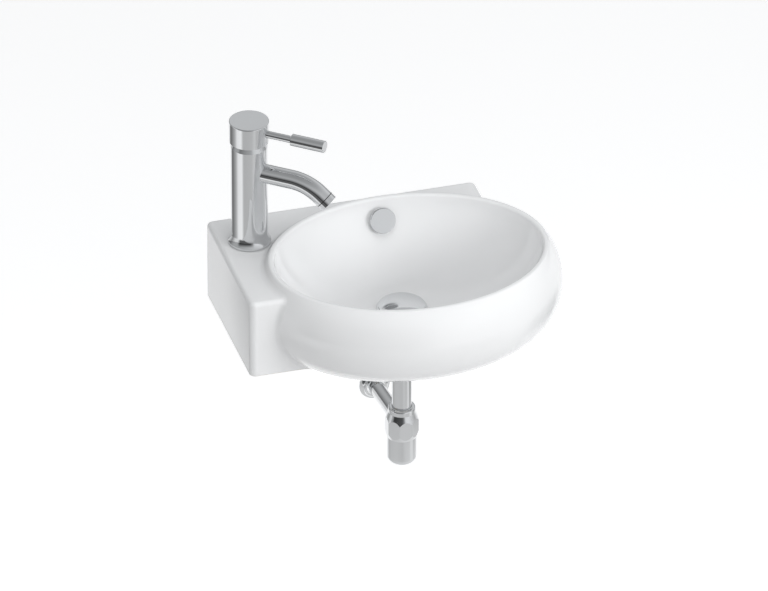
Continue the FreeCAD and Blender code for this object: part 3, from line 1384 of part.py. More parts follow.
def tap_collar():
    """The bevelled collar that closes the top of the tap body under the handle."""
    body = tap_piece("tap_collar")
    inner = chamber_radius
    tap_collar_top = tap_top + tap_collar_rise
    under = tap_collar_top - tap_collar_thick
    revolve(body, [(inner, tap_top), (tap_radius, tap_top), (tap_radius, tap_top + tap_collar_edge),
                   (tap_collar_top_radius, tap_collar_top), (tap_collar_bore, tap_collar_top),
                   (tap_collar_bore, under), (inner, tap_top + tap_collar_edge)])
    return body


def handle_cap():
    """The cap over the cartridge, with a boss that grips the stem and a seat for the lever."""
    body = tap_piece("handle_cap")
    inside = cap_radius - cap_wall
    revolve(body, [(0, boss_bottom), (boss_radius, boss_bottom), (boss_radius, cap_ceiling),
                   (inside, cap_ceiling), (inside, cap_bottom), (cap_radius, cap_bottom),
                   (cap_radius, cap_top), (0, cap_top)])
    round_rims(body, [(cap_radius, cap_top)], cap_round)
    deep = stem_half_deep + fit_gap
    wide = stem_half_wide + fit_gap
    socket = box_between((-deep, -wide), (deep, wide))
    socket_top = stem_top + fit_gap
    pocket(body, "XY_Plane", [socket], socket_top, socket_top - boss_bottom)
    neck = ((0, lever_height), lever_neck + fit_gap)
    pocket(body, "YZ_Plane", [neck], cap_radius, cap_radius)
    seat = ((0, lever_height), lever_radius + fit_gap)
    pocket(body, "YZ_Plane", [seat], cap_radius, lever_seat)
    return body


def lever():
    """The rod, whose threaded end clamps the stem in the boss, and the grip on its end."""
    shoulder = cap_radius - lever_seat
    rod_body = tap_piece("lever_rod", lever_height)
    start = stem_half_deep + 2 * fit_gap
    revolve(rod_body, [(start, 0), (lever_end, 0), (lever_end, lever_radius), (shoulder, lever_radius),
                       (shoulder, lever_neck), (start, lever_neck)], "H_Axis")
    grip = tap_piece("lever_grip", lever_height)
    hole = lever_radius + fit_gap
    bottom = lever_end + fit_gap
    bevel = grip_radius - grip_round
    revolve(grip, [(grip_start, hole), (grip_start, bevel), (grip_start + grip_round, grip_radius),
                   (grip_end - grip_round, grip_radius), (grip_end, bevel), (grip_end, 0), (bottom, 0),
                   (bottom, hole)], "H_Axis")
    return [rod_body, grip]


def horseshoe(name, top, thick):
    """A slotted plate under the deck: the slot leaves the hoses' way free."""
    body = tap_piece(name)
    pad(body, "XY_Plane", [((0, 0), shoe_radius)], top - thick, thick)
    slot = box_between((-shoe_radius - cut_over, -shoe_slot), (shoe_slot_end, shoe_slot))
    pocket(body, "XY_Plane", [slot], top, thick)
    pocket(body, "XY_Plane", [((stud_ahead, 0), stud_radius + running_gap)], top, thick)
    return body


def tap_fixing():
    """Stud, gasket, washer and nut that pull the tap down on the deck."""
    gasket = horseshoe("horseshoe_gasket", -deck_thick, gasket_thick)
    plate_top = -deck_thick - gasket_thick
    plate = horseshoe("horseshoe_washer", plate_top, shoe_thick)
    stud = tap_piece("fixing_stud")
    pad(stud, "XY_Plane", [((stud_ahead, 0), stud_radius)], -stud_reach, stud_reach + stud_hold)
    nut = tap_piece("fixing_nut")
    nut_top = plate_top - shoe_thick
    corners = [(stud_ahead + x, y) for x, y in hexagon(fixing_nut_radius)]
    pad(nut, "XY_Plane", [corners], nut_top - fixing_nut_height, fixing_nut_height)
    pocket(nut, "XY_Plane", [((stud_ahead, 0), stud_radius + fit_gap)], nut_top, fixing_nut_height)
    return [gasket, plate, stud, nut]


def all_pieces():
    pieces = [basin_body(), bolt_bush("wall_bush_left", -1), bolt_bush("wall_bush_right", 1)]
    pieces += [overflow_insert(), overflow_cap()]
    pieces += [waste_body(), waste_back_nut(), latch_barrel(), latch_ring(), latch_spring()]
    pieces += waste_washers()
    pieces += [plug_stem(), plug_cap(), plug_seal()]
    pieces += trap_inlet()
    pieces += [trap_collar_nut(), trap_collar_seal(), trap_body()]
    pieces += trap_bottle() + trap_outlet()
    pieces += [tap_body(), tap_spout(), tap_collar()]
    pieces += tap_base() + aerator() + cartridge_seals()
    base_size = (cartridge_radius, cartridge_foot, cartridge_base_height, port_radius)
    pieces += [ported_disc("cartridge_base", *base_size)]
    pieces += [ported_disc("fixed_disc", fixed_disc_radius, disc_seat, disc_height, disc_port_radius)]
    pieces += [moving_disc(), disc_carrier(), cartridge_housing(), cartridge_rotor(), pivot_pin()]
    pieces += [cartridge_stem(), cartridge_nut(), handle_cap()]
    pieces += lever() + tap_fixing()
    return pieces


def write_pieces(pieces):
    """Stop at any failed object or bad shape, then write one file for each piece."""
    for item in doc.Objects:
        if "Invalid" in item.State or "Error" in item.State:
            raise ValueError(f"{item.Label} failed: {item.State}")
    for item in pieces:
        if item.Shape.isNull() or not item.Shape.isValid() or len(item.Shape.Solids) != 1:
            raise ValueError(f"{item.Label} is not one good solid")
    os.makedirs("parts", exist_ok=True)
    for item in pieces:
        item.Shape.exportStep(f"parts/{item.Label}.step")
    print(f"{len(pieces)} pieces written")


pieces = all_pieces()
doc.recompute()
write_pieces(pieces)
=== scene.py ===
# %% [markdown]
# A wall-hung hand basin in white glazed ceramic, with a chromed mixer tap, a press-open waste and a
# bottle trap. The measured solids come in as a fixed frame. This lesson gives each of them the finish
# of the real piece, adds the small forms that the solids leave out, and lights the whole for a
# picture. Every length is in metres. X runs along the wall, Y into it and Z up.

# %% Load the frame
import json
import math

import bmesh
import bpy
from mathutils import Matrix, Vector


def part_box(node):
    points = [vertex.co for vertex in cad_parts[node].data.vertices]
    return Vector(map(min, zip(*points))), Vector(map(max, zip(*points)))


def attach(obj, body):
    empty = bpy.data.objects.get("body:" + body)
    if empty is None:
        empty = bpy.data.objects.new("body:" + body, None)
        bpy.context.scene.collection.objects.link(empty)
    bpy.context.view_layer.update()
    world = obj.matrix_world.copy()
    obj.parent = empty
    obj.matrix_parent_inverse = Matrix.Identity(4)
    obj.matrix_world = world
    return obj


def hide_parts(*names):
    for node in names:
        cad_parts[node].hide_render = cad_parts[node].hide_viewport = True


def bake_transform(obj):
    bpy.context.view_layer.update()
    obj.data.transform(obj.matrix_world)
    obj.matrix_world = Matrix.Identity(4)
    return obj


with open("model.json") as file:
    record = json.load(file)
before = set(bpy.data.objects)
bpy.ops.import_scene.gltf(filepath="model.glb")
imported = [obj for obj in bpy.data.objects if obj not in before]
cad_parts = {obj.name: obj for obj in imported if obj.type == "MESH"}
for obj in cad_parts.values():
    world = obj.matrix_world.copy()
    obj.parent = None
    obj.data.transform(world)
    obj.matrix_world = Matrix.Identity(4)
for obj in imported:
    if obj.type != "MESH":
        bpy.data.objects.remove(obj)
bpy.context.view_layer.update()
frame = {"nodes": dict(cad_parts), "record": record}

# %% [markdown]
# A finish is a small tree of shader nodes. Wiring it by hand takes many lines, so one class holds a
# tree and adds a node by its type, its settings and its sockets, and a second class wraps a socket so
# that sums on it can be written as plain Python: `0.1 + 0.2 * cloud` adds two Math nodes.

# %% A socket that can be used in sums
class Wire:
    """One output of a node tree that takes part in sums."""

    def __init__(self, wiring, output):
        self.wiring = wiring
        self.output = output

    def sum_with(self, operation, first, second):
        return self.wiring.node("ShaderNodeMath", {"operation": operation}, {0: first, 1: second})

    def __add__(self, other):
        return self.sum_with("ADD", self, other)

    def __radd__(self, other):
        return self.sum_with("ADD", other, self)

    def __sub__(self, other):
        return self.sum_with("SUBTRACT", self, other)

    def __rsub__(self, other):
        return self.sum_with("SUBTRACT", other, self)

    def __mul__(self, other):
        return self.sum_with("MULTIPLY", self, other)

    def __rmul__(self, other):
        return self.sum_with("MULTIPLY", other, self)

    def limited(self):
        """The same value, held between 0 and 1."""
        return self.wiring.node("ShaderNodeClamp", {}, {"Value": self})


# %% [markdown]
# The tree itself gets one method that adds any node, and a few short ones for what is used often. A
# material is such a tree with one Principled shader at its end. A Mix node has sockets of the same name
# for numbers, vectors and colours, so its colour sockets go by number.

# %% A tree that nodes are added to
mix_share = 0
mix_first = 6
mix_second = 7
mix_result = 2


class Wiring:
    """A node tree, and the ways to add a node to it."""

    def __init__(self, tree):
        self.tree = tree

    def node(self, kind, settings, sockets, output=0):
        """Add a node: its settings first, then a value or a wire for each socket."""
        made = self.tree.nodes.new(kind)
        for name, value in settings.items():
            setattr(made, name, value)
        self.fill(made, sockets)
        return Wire(self, made.outputs[output])

    def fill(self, node, sockets):
        for name, value in sockets.items():
            if isinstance(value, Wire):
                self.tree.links.new(value.output, node.inputs[name])
            else:
                node.inputs[name].default_value = value

    def parts(self, vector):
        """The three numbers of a vector."""
        made = self.tree.nodes.new("ShaderNodeSeparateXYZ")
        self.fill(made, {"Vector": vector})
        return [Wire(self, made.outputs[axis]) for axis in "XYZ"]

    def ramp(self, value, stops):
        """A tone that is set at each stop and runs evenly between them."""
        made = self.tree.nodes.new("ShaderNodeValToRGB")
        row = made.color_ramp.elements
        while len(row) < len(stops):
            row.new(0.5)
        for element, (place, tone) in zip(row, stops):
            element.position = place
            element.color = grey(tone)
        self.fill(made, {"Fac": value})
        return Wire(self, made.outputs["Color"])

    def by_bearing(self, east, north, tones):
        """A tone by compass bearing, given at degrees clockwise from straight into the wall."""
        turn = self.node("ShaderNodeMath", {"operation": "ARCTAN2"}, {0: east, 1: north})
        stops = [(0.5 + bearing / 360, tone) for bearing, tone in tones]
        return self.ramp(0.5 + turn * (0.5 / math.pi), stops)


class Finish(Wiring):
    """A material with one Principled shader, and the nodes that feed it."""

    def __init__(self, name):
        self.material = bpy.data.materials.new(name)
        self.material.use_nodes = True
        super().__init__(self.material.node_tree)
        self.shader = self.tree.nodes["Principled BSDF"]

    def place(self, stretch=(1, 1, 1)):
        """Object coordinates, stretched along the three axes."""
        where = self.node("ShaderNodeTexCoord", {}, {}, "Object")
        return self.node("ShaderNodeMapping", {}, {"Vector": where, "Scale": stretch})

    def noise(self, scale, detail=2.0, stretch=(1, 1, 1)):
        """Soft random values between 0 and 1."""
        sockets = {"Vector": self.place(stretch), "Scale": scale, "Detail": detail}
        return self.node("ShaderNodeTexNoise", {}, sockets, "Fac")

    def mix(self, share, first, second):
        """A colour between two colours."""
        sockets = {mix_share: share, mix_first: first, mix_second: second}
        return self.node("ShaderNodeMix", {"data_type": "RGBA"}, sockets, mix_result)

    def bump(self, height, strength, depth):
        sockets = {"Height": height, "Strength": strength, "Distance": depth}
        return self.node("ShaderNodeBump", {}, sockets)

    def surface(self, sockets):
        self.fill(self.shader, sockets)
        return self.material


def grey(value, tint=0.0):
    """A grey that a positive tint makes bluer and a negative one warmer."""
    return (value * (1 - tint), value, value * (1 + tint), 1.0)


print("shader helpers ready")

# %% [markdown]
# The ceramic is vitreous china: a white body under a thick clear glaze. The glaze pools and thins by
# a fraction, so its tone and gloss drift slowly over a hand's width, and its skin has a faint ripple
# like orange peel. The bottom rim stands on the kiln shelf while it is fired, and the washers of the
# waste seal on the boss under the bowl. Both stay bare, and are a little warmer and duller. They are the
# lowest parts, so the height in the object's own coordinates picks them out.

# %% Glazed ceramic
bare_rim_top = -0.0393
bare_rim_edge = 2500.0
dark_body = (0.62, 0.57, 0.5, 1)
pale_body = (0.74, 0.7, 0.64, 1)


def glazed_white():
    finish = Finish("glazed_white")
    drift = finish.noise(scale=7.0)
    ripple = finish.noise(scale=95.0, detail=1.0)
    height = finish.parts(finish.place())[2]
    bare = ((bare_rim_top - height) * bare_rim_edge).limited()
    grain = finish.noise(scale=900.0, detail=4.0)
    glaze = finish.mix(drift, grey(0.84, 0.006), grey(0.88, 0.004))
    body = finish.mix(grain, dark_body, pale_body)
    return finish.surface({
        "Base Color": finish.mix(bare, glaze, body),
        "Roughness": 0.045 + 0.05 * drift + 0.7 * bare,
        "Coat Weight": 0.5 - 0.5 * bare,
        "Coat Roughness": 0.03,
        "Normal": finish.bump(ripple, strength=0.035, depth=0.0006),
    })


# %% [markdown]
# The tap, the waste and the trap are brass with a polished chrome plate. A real plate isn't a perfect
# mirror: cloth leaves wipe marks that soften it a little, in streaks that run up and down, and the
# polished metal under the plate still has a slight swell. Both are weak, so that the reflections of
# the room stay clear.

# %% Polished chrome
def polished_chrome():
    finish = Finish("polished_chrome")
    wipe = finish.noise(scale=60.0, detail=3.0, stretch=(1, 1, 0.15))
    tone = finish.noise(scale=14.0)
    swell = finish.noise(scale=28.0, detail=1.0)
    return finish.surface({
        "Base Color": finish.mix(tone, grey(0.72, 0.012), grey(0.8, 0.01)),
        "Metallic": 1.0,
        "Roughness": 0.035 + 0.09 * wipe * wipe,
        "Normal": finish.bump(swell, strength=0.02, depth=0.0006),
    })


# %% [markdown]
# The hidden pieces have finishes of their own: turned brass, zinc-plated steel, moulded plastic,
# sintered ceramic discs and rubber. Turned and drawn metal gets fine lines from a stretched noise,
# and moulded and pressed pieces get a grain that is even in all directions.

# %% Finishes of the hidden pieces
def lined_metal(name, dark, light, low_gloss):
    finish = Finish(name)
    lines = finish.noise(scale=40.0, detail=4.0, stretch=(1, 1, 30))
    patina = finish.noise(scale=35.0, detail=3.0)
    return finish.surface({
        "Base Color": finish.mix(patina, dark, light),
        "Metallic": 1.0,
        "Roughness": low_gloss + 0.2 * lines,
        "Normal": finish.bump(lines, strength=0.12, depth=0.0002),
    })


def grained(name, dark, light, low_gloss, grain_scale):
    finish = Finish(name)
    grain = finish.noise(scale=grain_scale, detail=3.0)
    bloom = finish.noise(scale=40.0)
    return finish.surface({
        "Base Color": finish.mix(bloom, dark, light),
        "Roughness": low_gloss + 0.25 * bloom,
        "Normal": finish.bump(grain, strength=0.2, depth=0.0002),
    })


dark_brass = (0.55, 0.36, 0.13, 1)
pale_brass = (0.74, 0.54, 0.25, 1)
finishes = {
    "glazed_white": glazed_white(),
    "polished_chrome": polished_chrome(),
    "bare_brass": lined_metal("bare_brass", dark_brass, pale_brass, low_gloss=0.22),
    "bright_steel": lined_metal("bright_steel", grey(0.48, 0.02), grey(0.62, 0.02), low_gloss=0.25),
    "grey_plastic": grained("grey_plastic", grey(0.34), grey(0.42), low_gloss=0.35, grain_scale=1500.0),
    "technical_ceramic": grained("technical_ceramic", grey(0.7, -0.03), grey(0.78, -0.02),
                                 low_gloss=0.3, grain_scale=2500.0),
    "black_rubber": grained("black_rubber", grey(0.012), grey(0.028), low_gloss=0.55, grain_scale=1800.0),
}
slots = {part["node"]: part["material_slot"] for part in frame["record"]["subparts"]}
for node_name, slot in slots.items():
    node = frame["nodes"][node_name]
    node.data.materials.clear()
    node.data.materials.append(finishes[slot])
print("finishes:", sorted(finishes))

# %% [markdown]
# The ceramic's solid has a lip of narrow ruled bands, each with its own edge, and a glazed lip shows
# no such edges. The spout's solid has a seam along its top, and a bent tube shows none. For both, a
# copy of the mesh is welded into one skin, and smooth shading then runs across every edge that turns
# by less than a set angle. The real edges, as round the drilled holes, stay sharp.

# %% The glazed casting and the spout, each in one skin
smooth_angle = math.radians(38)
weld_distance = 2e-6


def welded_copy(name, node_name):
    """A copy of a node's mesh in one skin, smooth across its shallow edges."""
    form = bmesh.new()
    form.from_mesh(frame["nodes"][node_name].data)
    bmesh.ops.remove_doubles(form, verts=form.verts, dist=weld_distance)
    for edge in form.edges:
        edge.smooth = len(edge.link_faces) == 2 and edge.calc_face_angle() < smooth_angle
    for face in form.faces:
        face.smooth = True
    mesh = bpy.data.meshes.new(name)
    form.to_mesh(mesh)
    form.free()
    if "custom_normal" in mesh.attributes:
        mesh.attributes.remove(mesh.attributes["custom_normal"])
    made = bpy.data.objects.new(name, mesh)
    bpy.context.scene.collection.objects.link(made)
    return made


def stand_in(name, node_name):
    """A welded copy that is shown in place of a node, with the node's own finish."""
    made = welded_copy(name, node_name)
    made.data.materials.append(finishes[slots[node_name]])
    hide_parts(node_name)
    print(name, len(made.data.polygons), "faces")
    return made


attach(stand_in("glazed_casting", "basin_body"), "basin")
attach(stand_in("bent_spout", "tap_spout"), "basin")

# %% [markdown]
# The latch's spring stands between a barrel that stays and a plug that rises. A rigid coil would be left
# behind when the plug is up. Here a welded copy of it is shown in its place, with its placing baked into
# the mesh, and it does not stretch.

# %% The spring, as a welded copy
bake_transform(stand_in("latch_coil", "latch_spring"))

# %% [markdown]
# Threads and wire screens repeat by a rule, so Geometry Nodes make them. A class like the one for
# materials holds such a tree. Its sizes are named inputs, which the modifier sets by their identifiers.
# The result is turned into a plain mesh and the modifier is taken off, because an exported model keeps
# no instances.

# %% A rule that makes a mesh
class Rule(Wiring):
    """A Geometry Nodes tree that makes one mesh from a few named sizes."""

    def __init__(self, name, sizes):
        super().__init__(bpy.data.node_groups.new(name, "GeometryNodeTree"))
        sockets = self.tree.interface
        self.settings = {}
        for label, value in sizes.items():
            kind = "NodeSocketInt" if isinstance(value, int) else "NodeSocketFloat"
            socket = sockets.new_socket(label, in_out="INPUT", socket_type=kind)
            self.settings[socket.identifier] = value
        sockets.new_socket("Mesh", in_out="OUTPUT", socket_type="NodeSocketGeometry")
        entry = self.tree.nodes.new("NodeGroupInput")
        self.given = [Wire(self, entry.outputs[label]) for label in sizes]

    def vector(self, x=0.0, y=0.0, z=0.0):
        return self.node("ShaderNodeCombineXYZ", {}, {"X": x, "Y": y, "Z": z})

    def join(self, pieces):
        made = self.tree.nodes.new("GeometryNodeJoinGeometry")
        for piece in pieces:
            self.tree.links.new(piece.output, made.inputs["Geometry"])
        return Wire(self, made.outputs["Geometry"])

    def piece(self, name, shape, slot, place):
        """Turn the shape into a plain mesh of one finish, set it in place and let it ride."""
        whole = self.node("GeometryNodeRealizeInstances", {}, {"Geometry": shape})
        done = self.node("GeometryNodeSetMaterial", {}, {"Geometry": whole, "Material": finishes[slot]})
        self.fill(self.tree.nodes.new("NodeGroupOutput"), {"Mesh": done})
        made = bpy.data.objects.new(name, bpy.data.meshes.new(name))
        bpy.context.scene.collection.objects.link(made)
        modifier = made.modifiers.new("rule", "NODES")
        modifier.node_group = self.tree
        for identifier, value in self.settings.items():
            modifier[identifier] = value
        baked = made.evaluated_get(bpy.context.evaluated_depsgraph_get())
        mesh = bpy.data.meshes.new_from_object(baked)
        made.modifiers.remove(modifier)
        mesh.transform(place)
        made.data = mesh
        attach(made, "basin")
        print(name, len(mesh.polygons), "faces")
        return made


# %% [markdown]
# The waste's tube and the tap's fixing stud are threaded, and their solids are plain. A thread's crest
# is a small diamond swept along a spiral, half of it sunk in the metal. Only the stretch that no nut
# covers gets one: it starts under the nut above and ends at the next nut or at the rod's own end.

# %% Threads
ridge_points = 40
ridge_sides = 4
touching = 1e-5
waste_pitch = 0.0018
waste_ridge = 0.0005
stud_pitch = 0.00125
stud_ridge = 0.0004


def foot_circle(node_name):
    """The middle and the radius of an upright rod's lower end."""
    points = [corner.co for corner in frame["nodes"][node_name].data.vertices]
    foot = min(point.z for point in points)
    ring = [point for point in points if point.z < foot + touching]
    left, right = min(point.x for point in ring), max(point.x for point in ring)
    near, far = min(point.y for point in ring), max(point.y for point in ring)
    return (left + right) / 2, (near + far) / 2, (right - left) / 2


def thread(name, node_name, top, bottom, pitch, ridge):
    """A spiral ridge round an upright rod, between two heights."""
    middle_x, middle_y, radius = foot_circle(node_name)
    turns = (top - bottom - 2 * ridge) / pitch
    rule = Rule(name, {"Radius": radius, "Pitch": pitch, "Turns": turns, "Ridge": ridge})
    wide, rise, count, crest = rule.given
    spiral = rule.node("GeometryNodeCurveSpiral", {}, {
        "Resolution": ridge_points, "Rotations": count, "Height": rise * count,
        "Start Radius": wide, "End Radius": wide})
    upright = rule.node("GeometryNodeSetCurveNormal", {"mode": "Z_UP"}, {"Curve": spiral})
    diamond = rule.node("GeometryNodeCurvePrimitiveCircle", {}, {
        "Resolution": ridge_sides, "Radius": crest})
    swept = rule.node("GeometryNodeCurveToMesh", {}, {
        "Curve": upright, "Profile Curve": diamond, "Fill Caps": True})
    place = Matrix.Translation((middle_x, middle_y, bottom + ridge))
    return rule.piece(name, swept, slots[node_name], place)


def underside(node_name):
    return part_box(node_name)[0][2]


def top_side(node_name):
    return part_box(node_name)[1][2]


thread("waste_thread", "waste_body", underside("waste_back_nut"), top_side("trap_inlet_nut"),
       waste_pitch, waste_ridge)
thread("stud_thread", "fixing_stud", underside("fixing_nut"), underside("fixing_stud"),
       stud_pitch, stud_ridge)

# %% [markdown]
# A fine wire screen closes the spout's mouth, and it shows from below. Each wire is one thin rod that
# is repeated along a line, and a second row lies across the first. The rod reaches one unit to either
# side, so half the chord of the round mouth at its place is the scale that it takes. The screen rests on
# the end of the aerator's core, whose direction is that of its largest face that looks down.

# %% The screen in the spout's mouth
screen_wire = 0.00018
screen_wires = 13
screen_share = 0.96
wire_sides = 6
rod_length = 2.0
quarter_turn = math.pi / 2


def lower_end(node_name):
    """The middle, the direction and the radius of a tilted round piece's lower end."""
    mesh = frame["nodes"][node_name].data
    areas = {}
    for face in mesh.polygons:
        if face.normal.z < 0:
            facing = tuple(round(value, 3) for value in face.normal)
            areas[facing] = areas.get(facing, 0) + face.area
    ahead = Vector(max(areas, key=areas.get)).normalized()
    low, high = (Vector(corner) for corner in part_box(node_name))
    heart = (low + high) / 2
    arms = [corner.co - heart for corner in mesh.vertices]
    depth = max(arm.dot(ahead) for arm in arms)
    radius = max((arm - ahead * arm.dot(ahead)).length for arm in arms)
    return heart + ahead * depth, ahead, radius


def wire_screen(name, node_name, slot):
    """Two crossed rows of wires over the lower end of a round piece."""
    centre, ahead, mouth = lower_end(node_name)
    rule = Rule(name, {"Radius": mouth * screen_share, "Wire": screen_wire, "Wires": screen_wires})
    radius, wire, count = rule.given
    edge = radius - 2 * wire
    row = rule.node("GeometryNodeMeshLine", {"mode": "END_POINTS"}, {
        "Count": count, "Start Location": rule.vector(0 - edge), "Offset": rule.vector(edge)})
    across = rule.parts(rule.node("GeometryNodeInputPosition", {}, {}))[0]
    half_chord = rule.node("ShaderNodeMath", {"operation": "SQRT"}, {0: radius * radius - across * across})
    rod = rule.node("GeometryNodeMeshCylinder", {}, {
        "Vertices": wire_sides, "Radius": wire, "Depth": rod_length})
    wires = rule.node("GeometryNodeInstanceOnPoints", {}, {
        "Points": row, "Instance": rod, "Rotation": (quarter_turn, 0, 0),
        "Scale": rule.vector(1.0, 1.0, half_chord)})
    weft = rule.node("GeometryNodeTransform", {}, {
        "Geometry": wires, "Translation": rule.vector(z=2 * wire), "Rotation": (0, 0, quarter_turn)})
    tilt = ahead.to_track_quat("Z", "Y").to_matrix().to_4x4()
    place = Matrix.Translation(centre + ahead * screen_wire) @ tilt
    return rule.piece(name, rule.join([wires, weft]), slot, place)


wire_screen("aerator_screen", "aerator_core", "bright_steel")

# %% [markdown]
# A basin hangs with its rim about 0.85 m above the floor, so the floor lies that far below. It is a
# wide plain sheet in a pale paint that glows a little, as an overlit studio floor does. Only the camera
# sees it: what the basin mirrors and is lit by lies just under it and comes next.

# %% Floor
rim_above_floor = 0.85
rim_height = 0.076
floor_reach = 14.0
floor_level = rim_height - rim_above_floor
floor_glow = 0.42


def pale_floor():
    finish = Finish("pale_floor")
    patches = finish.noise(scale=1.5)
    return finish.surface({
        "Base Color": finish.mix(patches, grey(0.9), grey(0.92)),
        "Roughness": 0.8,
        "Emission Color": grey(1.0),
        "Emission Strength": floor_glow,
    })


def staged_sheet(name, points, material):
    """A flat sheet with four corners that belongs to the studio and not to the basin."""
    mesh = bpy.data.meshes.new(name)
    mesh.from_pydata(points, [], [(0, 1, 2, 3)])
    made = bpy.data.objects.new(name, mesh)
    bpy.context.scene.collection.objects.link(made)
    made.data.materials.append(material)
    return made


square = ((-1, -1), (1, -1), (1, 1), (-1, 1))
floor_corners = [(x * floor_reach, y * floor_reach, floor_level) for x, y in square]
floor = staged_sheet("floor", floor_corners, pale_floor())
floor.visible_glossy = False
floor.visible_diffuse = False
floor.visible_shadow = False
print("floor at", round(floor_level, 3))

# %% [markdown]
# The camera looks down, so upright chrome mirrors the floor and not the sky, and a plain white floor
# would make it flat and light the ceramic's underside too much. A photographer lays dark and pale boards
# round the set, out of the picture. Here a second sheet under the floor does that. Its tone goes by the
# bearing from the tap, in rings. The near ring shades the trap, the pale lanes of the next one become
# the long upright streaks on the tap, and the far ring is dark at the front left, for the dark line
# along the spout.

# %% The boards that the chrome mirrors
sheet_gap = 0.001
tap_place = (-0.18, -0.062)
# Tones by bearing in degrees, clockwise from straight into the wall
trap_tones = ((-180, 0.6), (-60, 0.6), (-19, 1.0), (62, 1.0), (90, 0.7), (180, 0.6))
bottle_tones = ((-180, 0.45), (-134, 0.5), (-74, 0.5), (-40, 0.3), (-19, 1.0), (62, 1.0), (76, 0.83),
                (136, 0.6), (180, 0.45))
tap_tones = ((-180, 0.45), (-130, 0.45), (-117, 0.9), (-92, 0.9), (-76, 0.5), (-50, 0.22), (-30, 0.18),
             (-19, 1.0), (62, 1.0), (74, 0.15), (98, 0.15), (108, 0.7), (122, 0.7), (131, 0.4), (150, 0.4),
             (165, 0.52), (180, 0.45))
spout_tones = ((-180, 0.2), (-168, 0.1), (-108, 0.1), (-95, 0.9), (-75, 0.9), (-50, 0.3), (-19, 1.0),
               (62, 1.0), (90, 0.5), (125, 0.9), (165, 0.9), (180, 0.2))
# Rings of the sheet: the distance from the tap and the tones there
floor_rings = ((0.40, trap_tones), (0.95, bottle_tones), (1.30, tap_tones), (1.70, tap_tones),
               (2.20, spout_tones))


def toned_boards():
    """Tones that go by the distance and the bearing from the tap."""
    finish = Finish("toned_boards")
    east, north, _ = finish.parts(finish.place())
    across = east - tap_place[0]
    along = north - tap_place[1]
    reach = finish.node("ShaderNodeMath", {"operation": "SQRT"}, {0: across * across + along * along})
    rings = [(distance, finish.by_bearing(across, along, tones)) for distance, tones in floor_rings]
    tone = rings[0][1]
    for (near, _), (far, outer) in zip(rings, rings[1:]):
        share = ((reach - near) * (1 / (far - near))).limited()
        tone = tone + share * (outer - tone)
    return finish.surface({
        "Base Color": finish.mix(tone, grey(0.02), grey(0.91)),
        "Roughness": 0.8,
        "Emission Color": finish.mix(tone, grey(0.0), grey(1.0)),
        "Emission Strength": floor_glow,
    })


board_corners = [(x, y, floor_level - sheet_gap) for x, y, _ in floor_corners]
staged_sheet("boards", board_corners, toned_boards())
print("rings:", [distance for distance, _ in floor_rings])

# %% [markdown]
# Two kinds of light share the work. The world is what the chrome and the glaze mirror: a pale sky, a
# little darker to the left, over a horizon whose tone goes by the bearing. It is dark at the front left,
# which draws the dark line along the spout and the lever, bright where a studio has its lamps, and
# darker again overhead. The soft boxes light the white ceramic, and they are kept out of mirror
# reflections, so that they don't stand as white cards in the chrome. The key stands low at the right of
# the front, so the rim throws a soft shadow into the bowl.

# %% Light
sky_middle = 0.62
sky_slope = 0.18
horizon_depth = 0.55
zenith_from = 0.45
zenith_share = 0.6
horizon_tones = ((-180, 0.4), (-168, 0.1), (-108, 0.1), (-95, 1.0), (-75, 1.0), (-50, 0.4), (0, 0.3),
                 (60, 0.4), (100, 0.6), (125, 1.0), (150, 1.3), (168, 1.3), (180, 0.4))
sky_colour = (0.97, 0.985, 1.0, 1.0)
light_target = Vector((-0.02, -0.15, 0.05))
# Each soft box: its name, its place, its width and height, and its power in watts
soft_boxes = (
    ("key_box", (1.3, -1.8, 0.72), (0.7, 0.6), 13.0),
    ("top_box", (0.0, -0.6, 2.3), (1.6, 1.6), 16.0),
    ("front_box", (0.0, -2.2, 0.8), (1.6, 1.2), 9.0),
    ("left_box", (-2.1, -1.4, 0.4), (1.2, 1.4), 6.0),
)


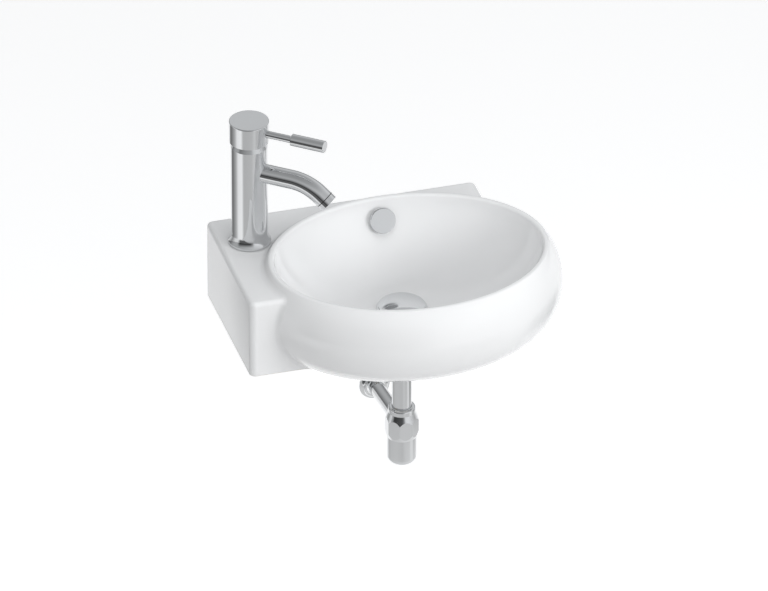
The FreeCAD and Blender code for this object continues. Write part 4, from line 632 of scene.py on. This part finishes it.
def sky():
    """A world that is paler at the right, with a toned band along its horizon."""
    world = bpy.data.worlds.new("studio")
    world.use_nodes = True
    wiring = Wiring(world.node_tree)
    across, along, height = wiring.parts(wiring.node("ShaderNodeTexCoord", {}, {}, "Generated"))
    horizon = wiring.by_bearing(across, along, horizon_tones)
    band = wiring.node("ShaderNodeMapRange", {"interpolation_type": "SMOOTHSTEP"},
                       {"Value": height, "From Max": horizon_depth, "To Min": horizon})
    top = wiring.node("ShaderNodeMapRange", {"interpolation_type": "SMOOTHSTEP"},
                      {"Value": height, "From Min": zenith_from, "To Min": 1.0, "To Max": zenith_share})
    wiring.fill(world.node_tree.nodes["Background"], {
        "Strength": (sky_middle + sky_slope * across) * band * top, "Color": sky_colour})
    bpy.context.scene.world = world


def soft_box(name, place, size, power):
    """A lamp with a wide face that is turned to the basin."""
    lamp = bpy.data.lights.new(name, "AREA")
    lamp.shape = "RECTANGLE"
    lamp.size, lamp.size_y = size
    lamp.energy = power
    made = bpy.data.objects.new(name, lamp)
    aim = (light_target - Vector(place)).to_track_quat("-Z", "Y")
    made.matrix_world = Matrix.Translation(place) @ aim.to_matrix().to_4x4()
    made.visible_glossy = False
    bpy.context.scene.collection.objects.link(made)


sky()
for settings in soft_boxes:
    soft_box(*settings)

# %% [markdown]
# The camera stands to the left of the bowl's axis and looks down on it from far away through a very
# long lens, so that upright lines stay upright and the near and far edges of the block keep the same
# scale. It aims at a point in the middle of the picture's frame.

# %% Camera
view_left = math.radians(-16.05)
view_down = math.radians(31.97)
view_distance = 20.0
lens_mm = 749.4
sensor_mm = 36.0
aim_point = Vector((-0.0320, -0.1562, 0.0162))


def photo_camera():
    """The camera at its bearing and height, turned to the aim point."""
    ahead_flat = Vector((-math.sin(view_left), math.cos(view_left), 0))
    right = Vector((math.cos(view_left), math.sin(view_left), 0))
    ahead = ahead_flat * math.cos(view_down) - Vector((0, 0, math.sin(view_down)))
    up = right.cross(ahead)
    lens = bpy.data.cameras.new("photo_camera")
    lens.lens = lens_mm
    lens.sensor_width = sensor_mm
    made = bpy.data.objects.new("photo_camera", lens)
    turn = Matrix((right, up, -ahead)).transposed()
    made.matrix_world = Matrix.Translation(aim_point - ahead * view_distance) @ turn.to_4x4()
    bpy.context.scene.collection.objects.link(made)
    bpy.context.scene.camera = made
    return made


camera = photo_camera()
bpy.context.scene.view_settings.view_transform = "Standard"
print("camera at", [round(value, 3) for value in camera.matrix_world.translation])
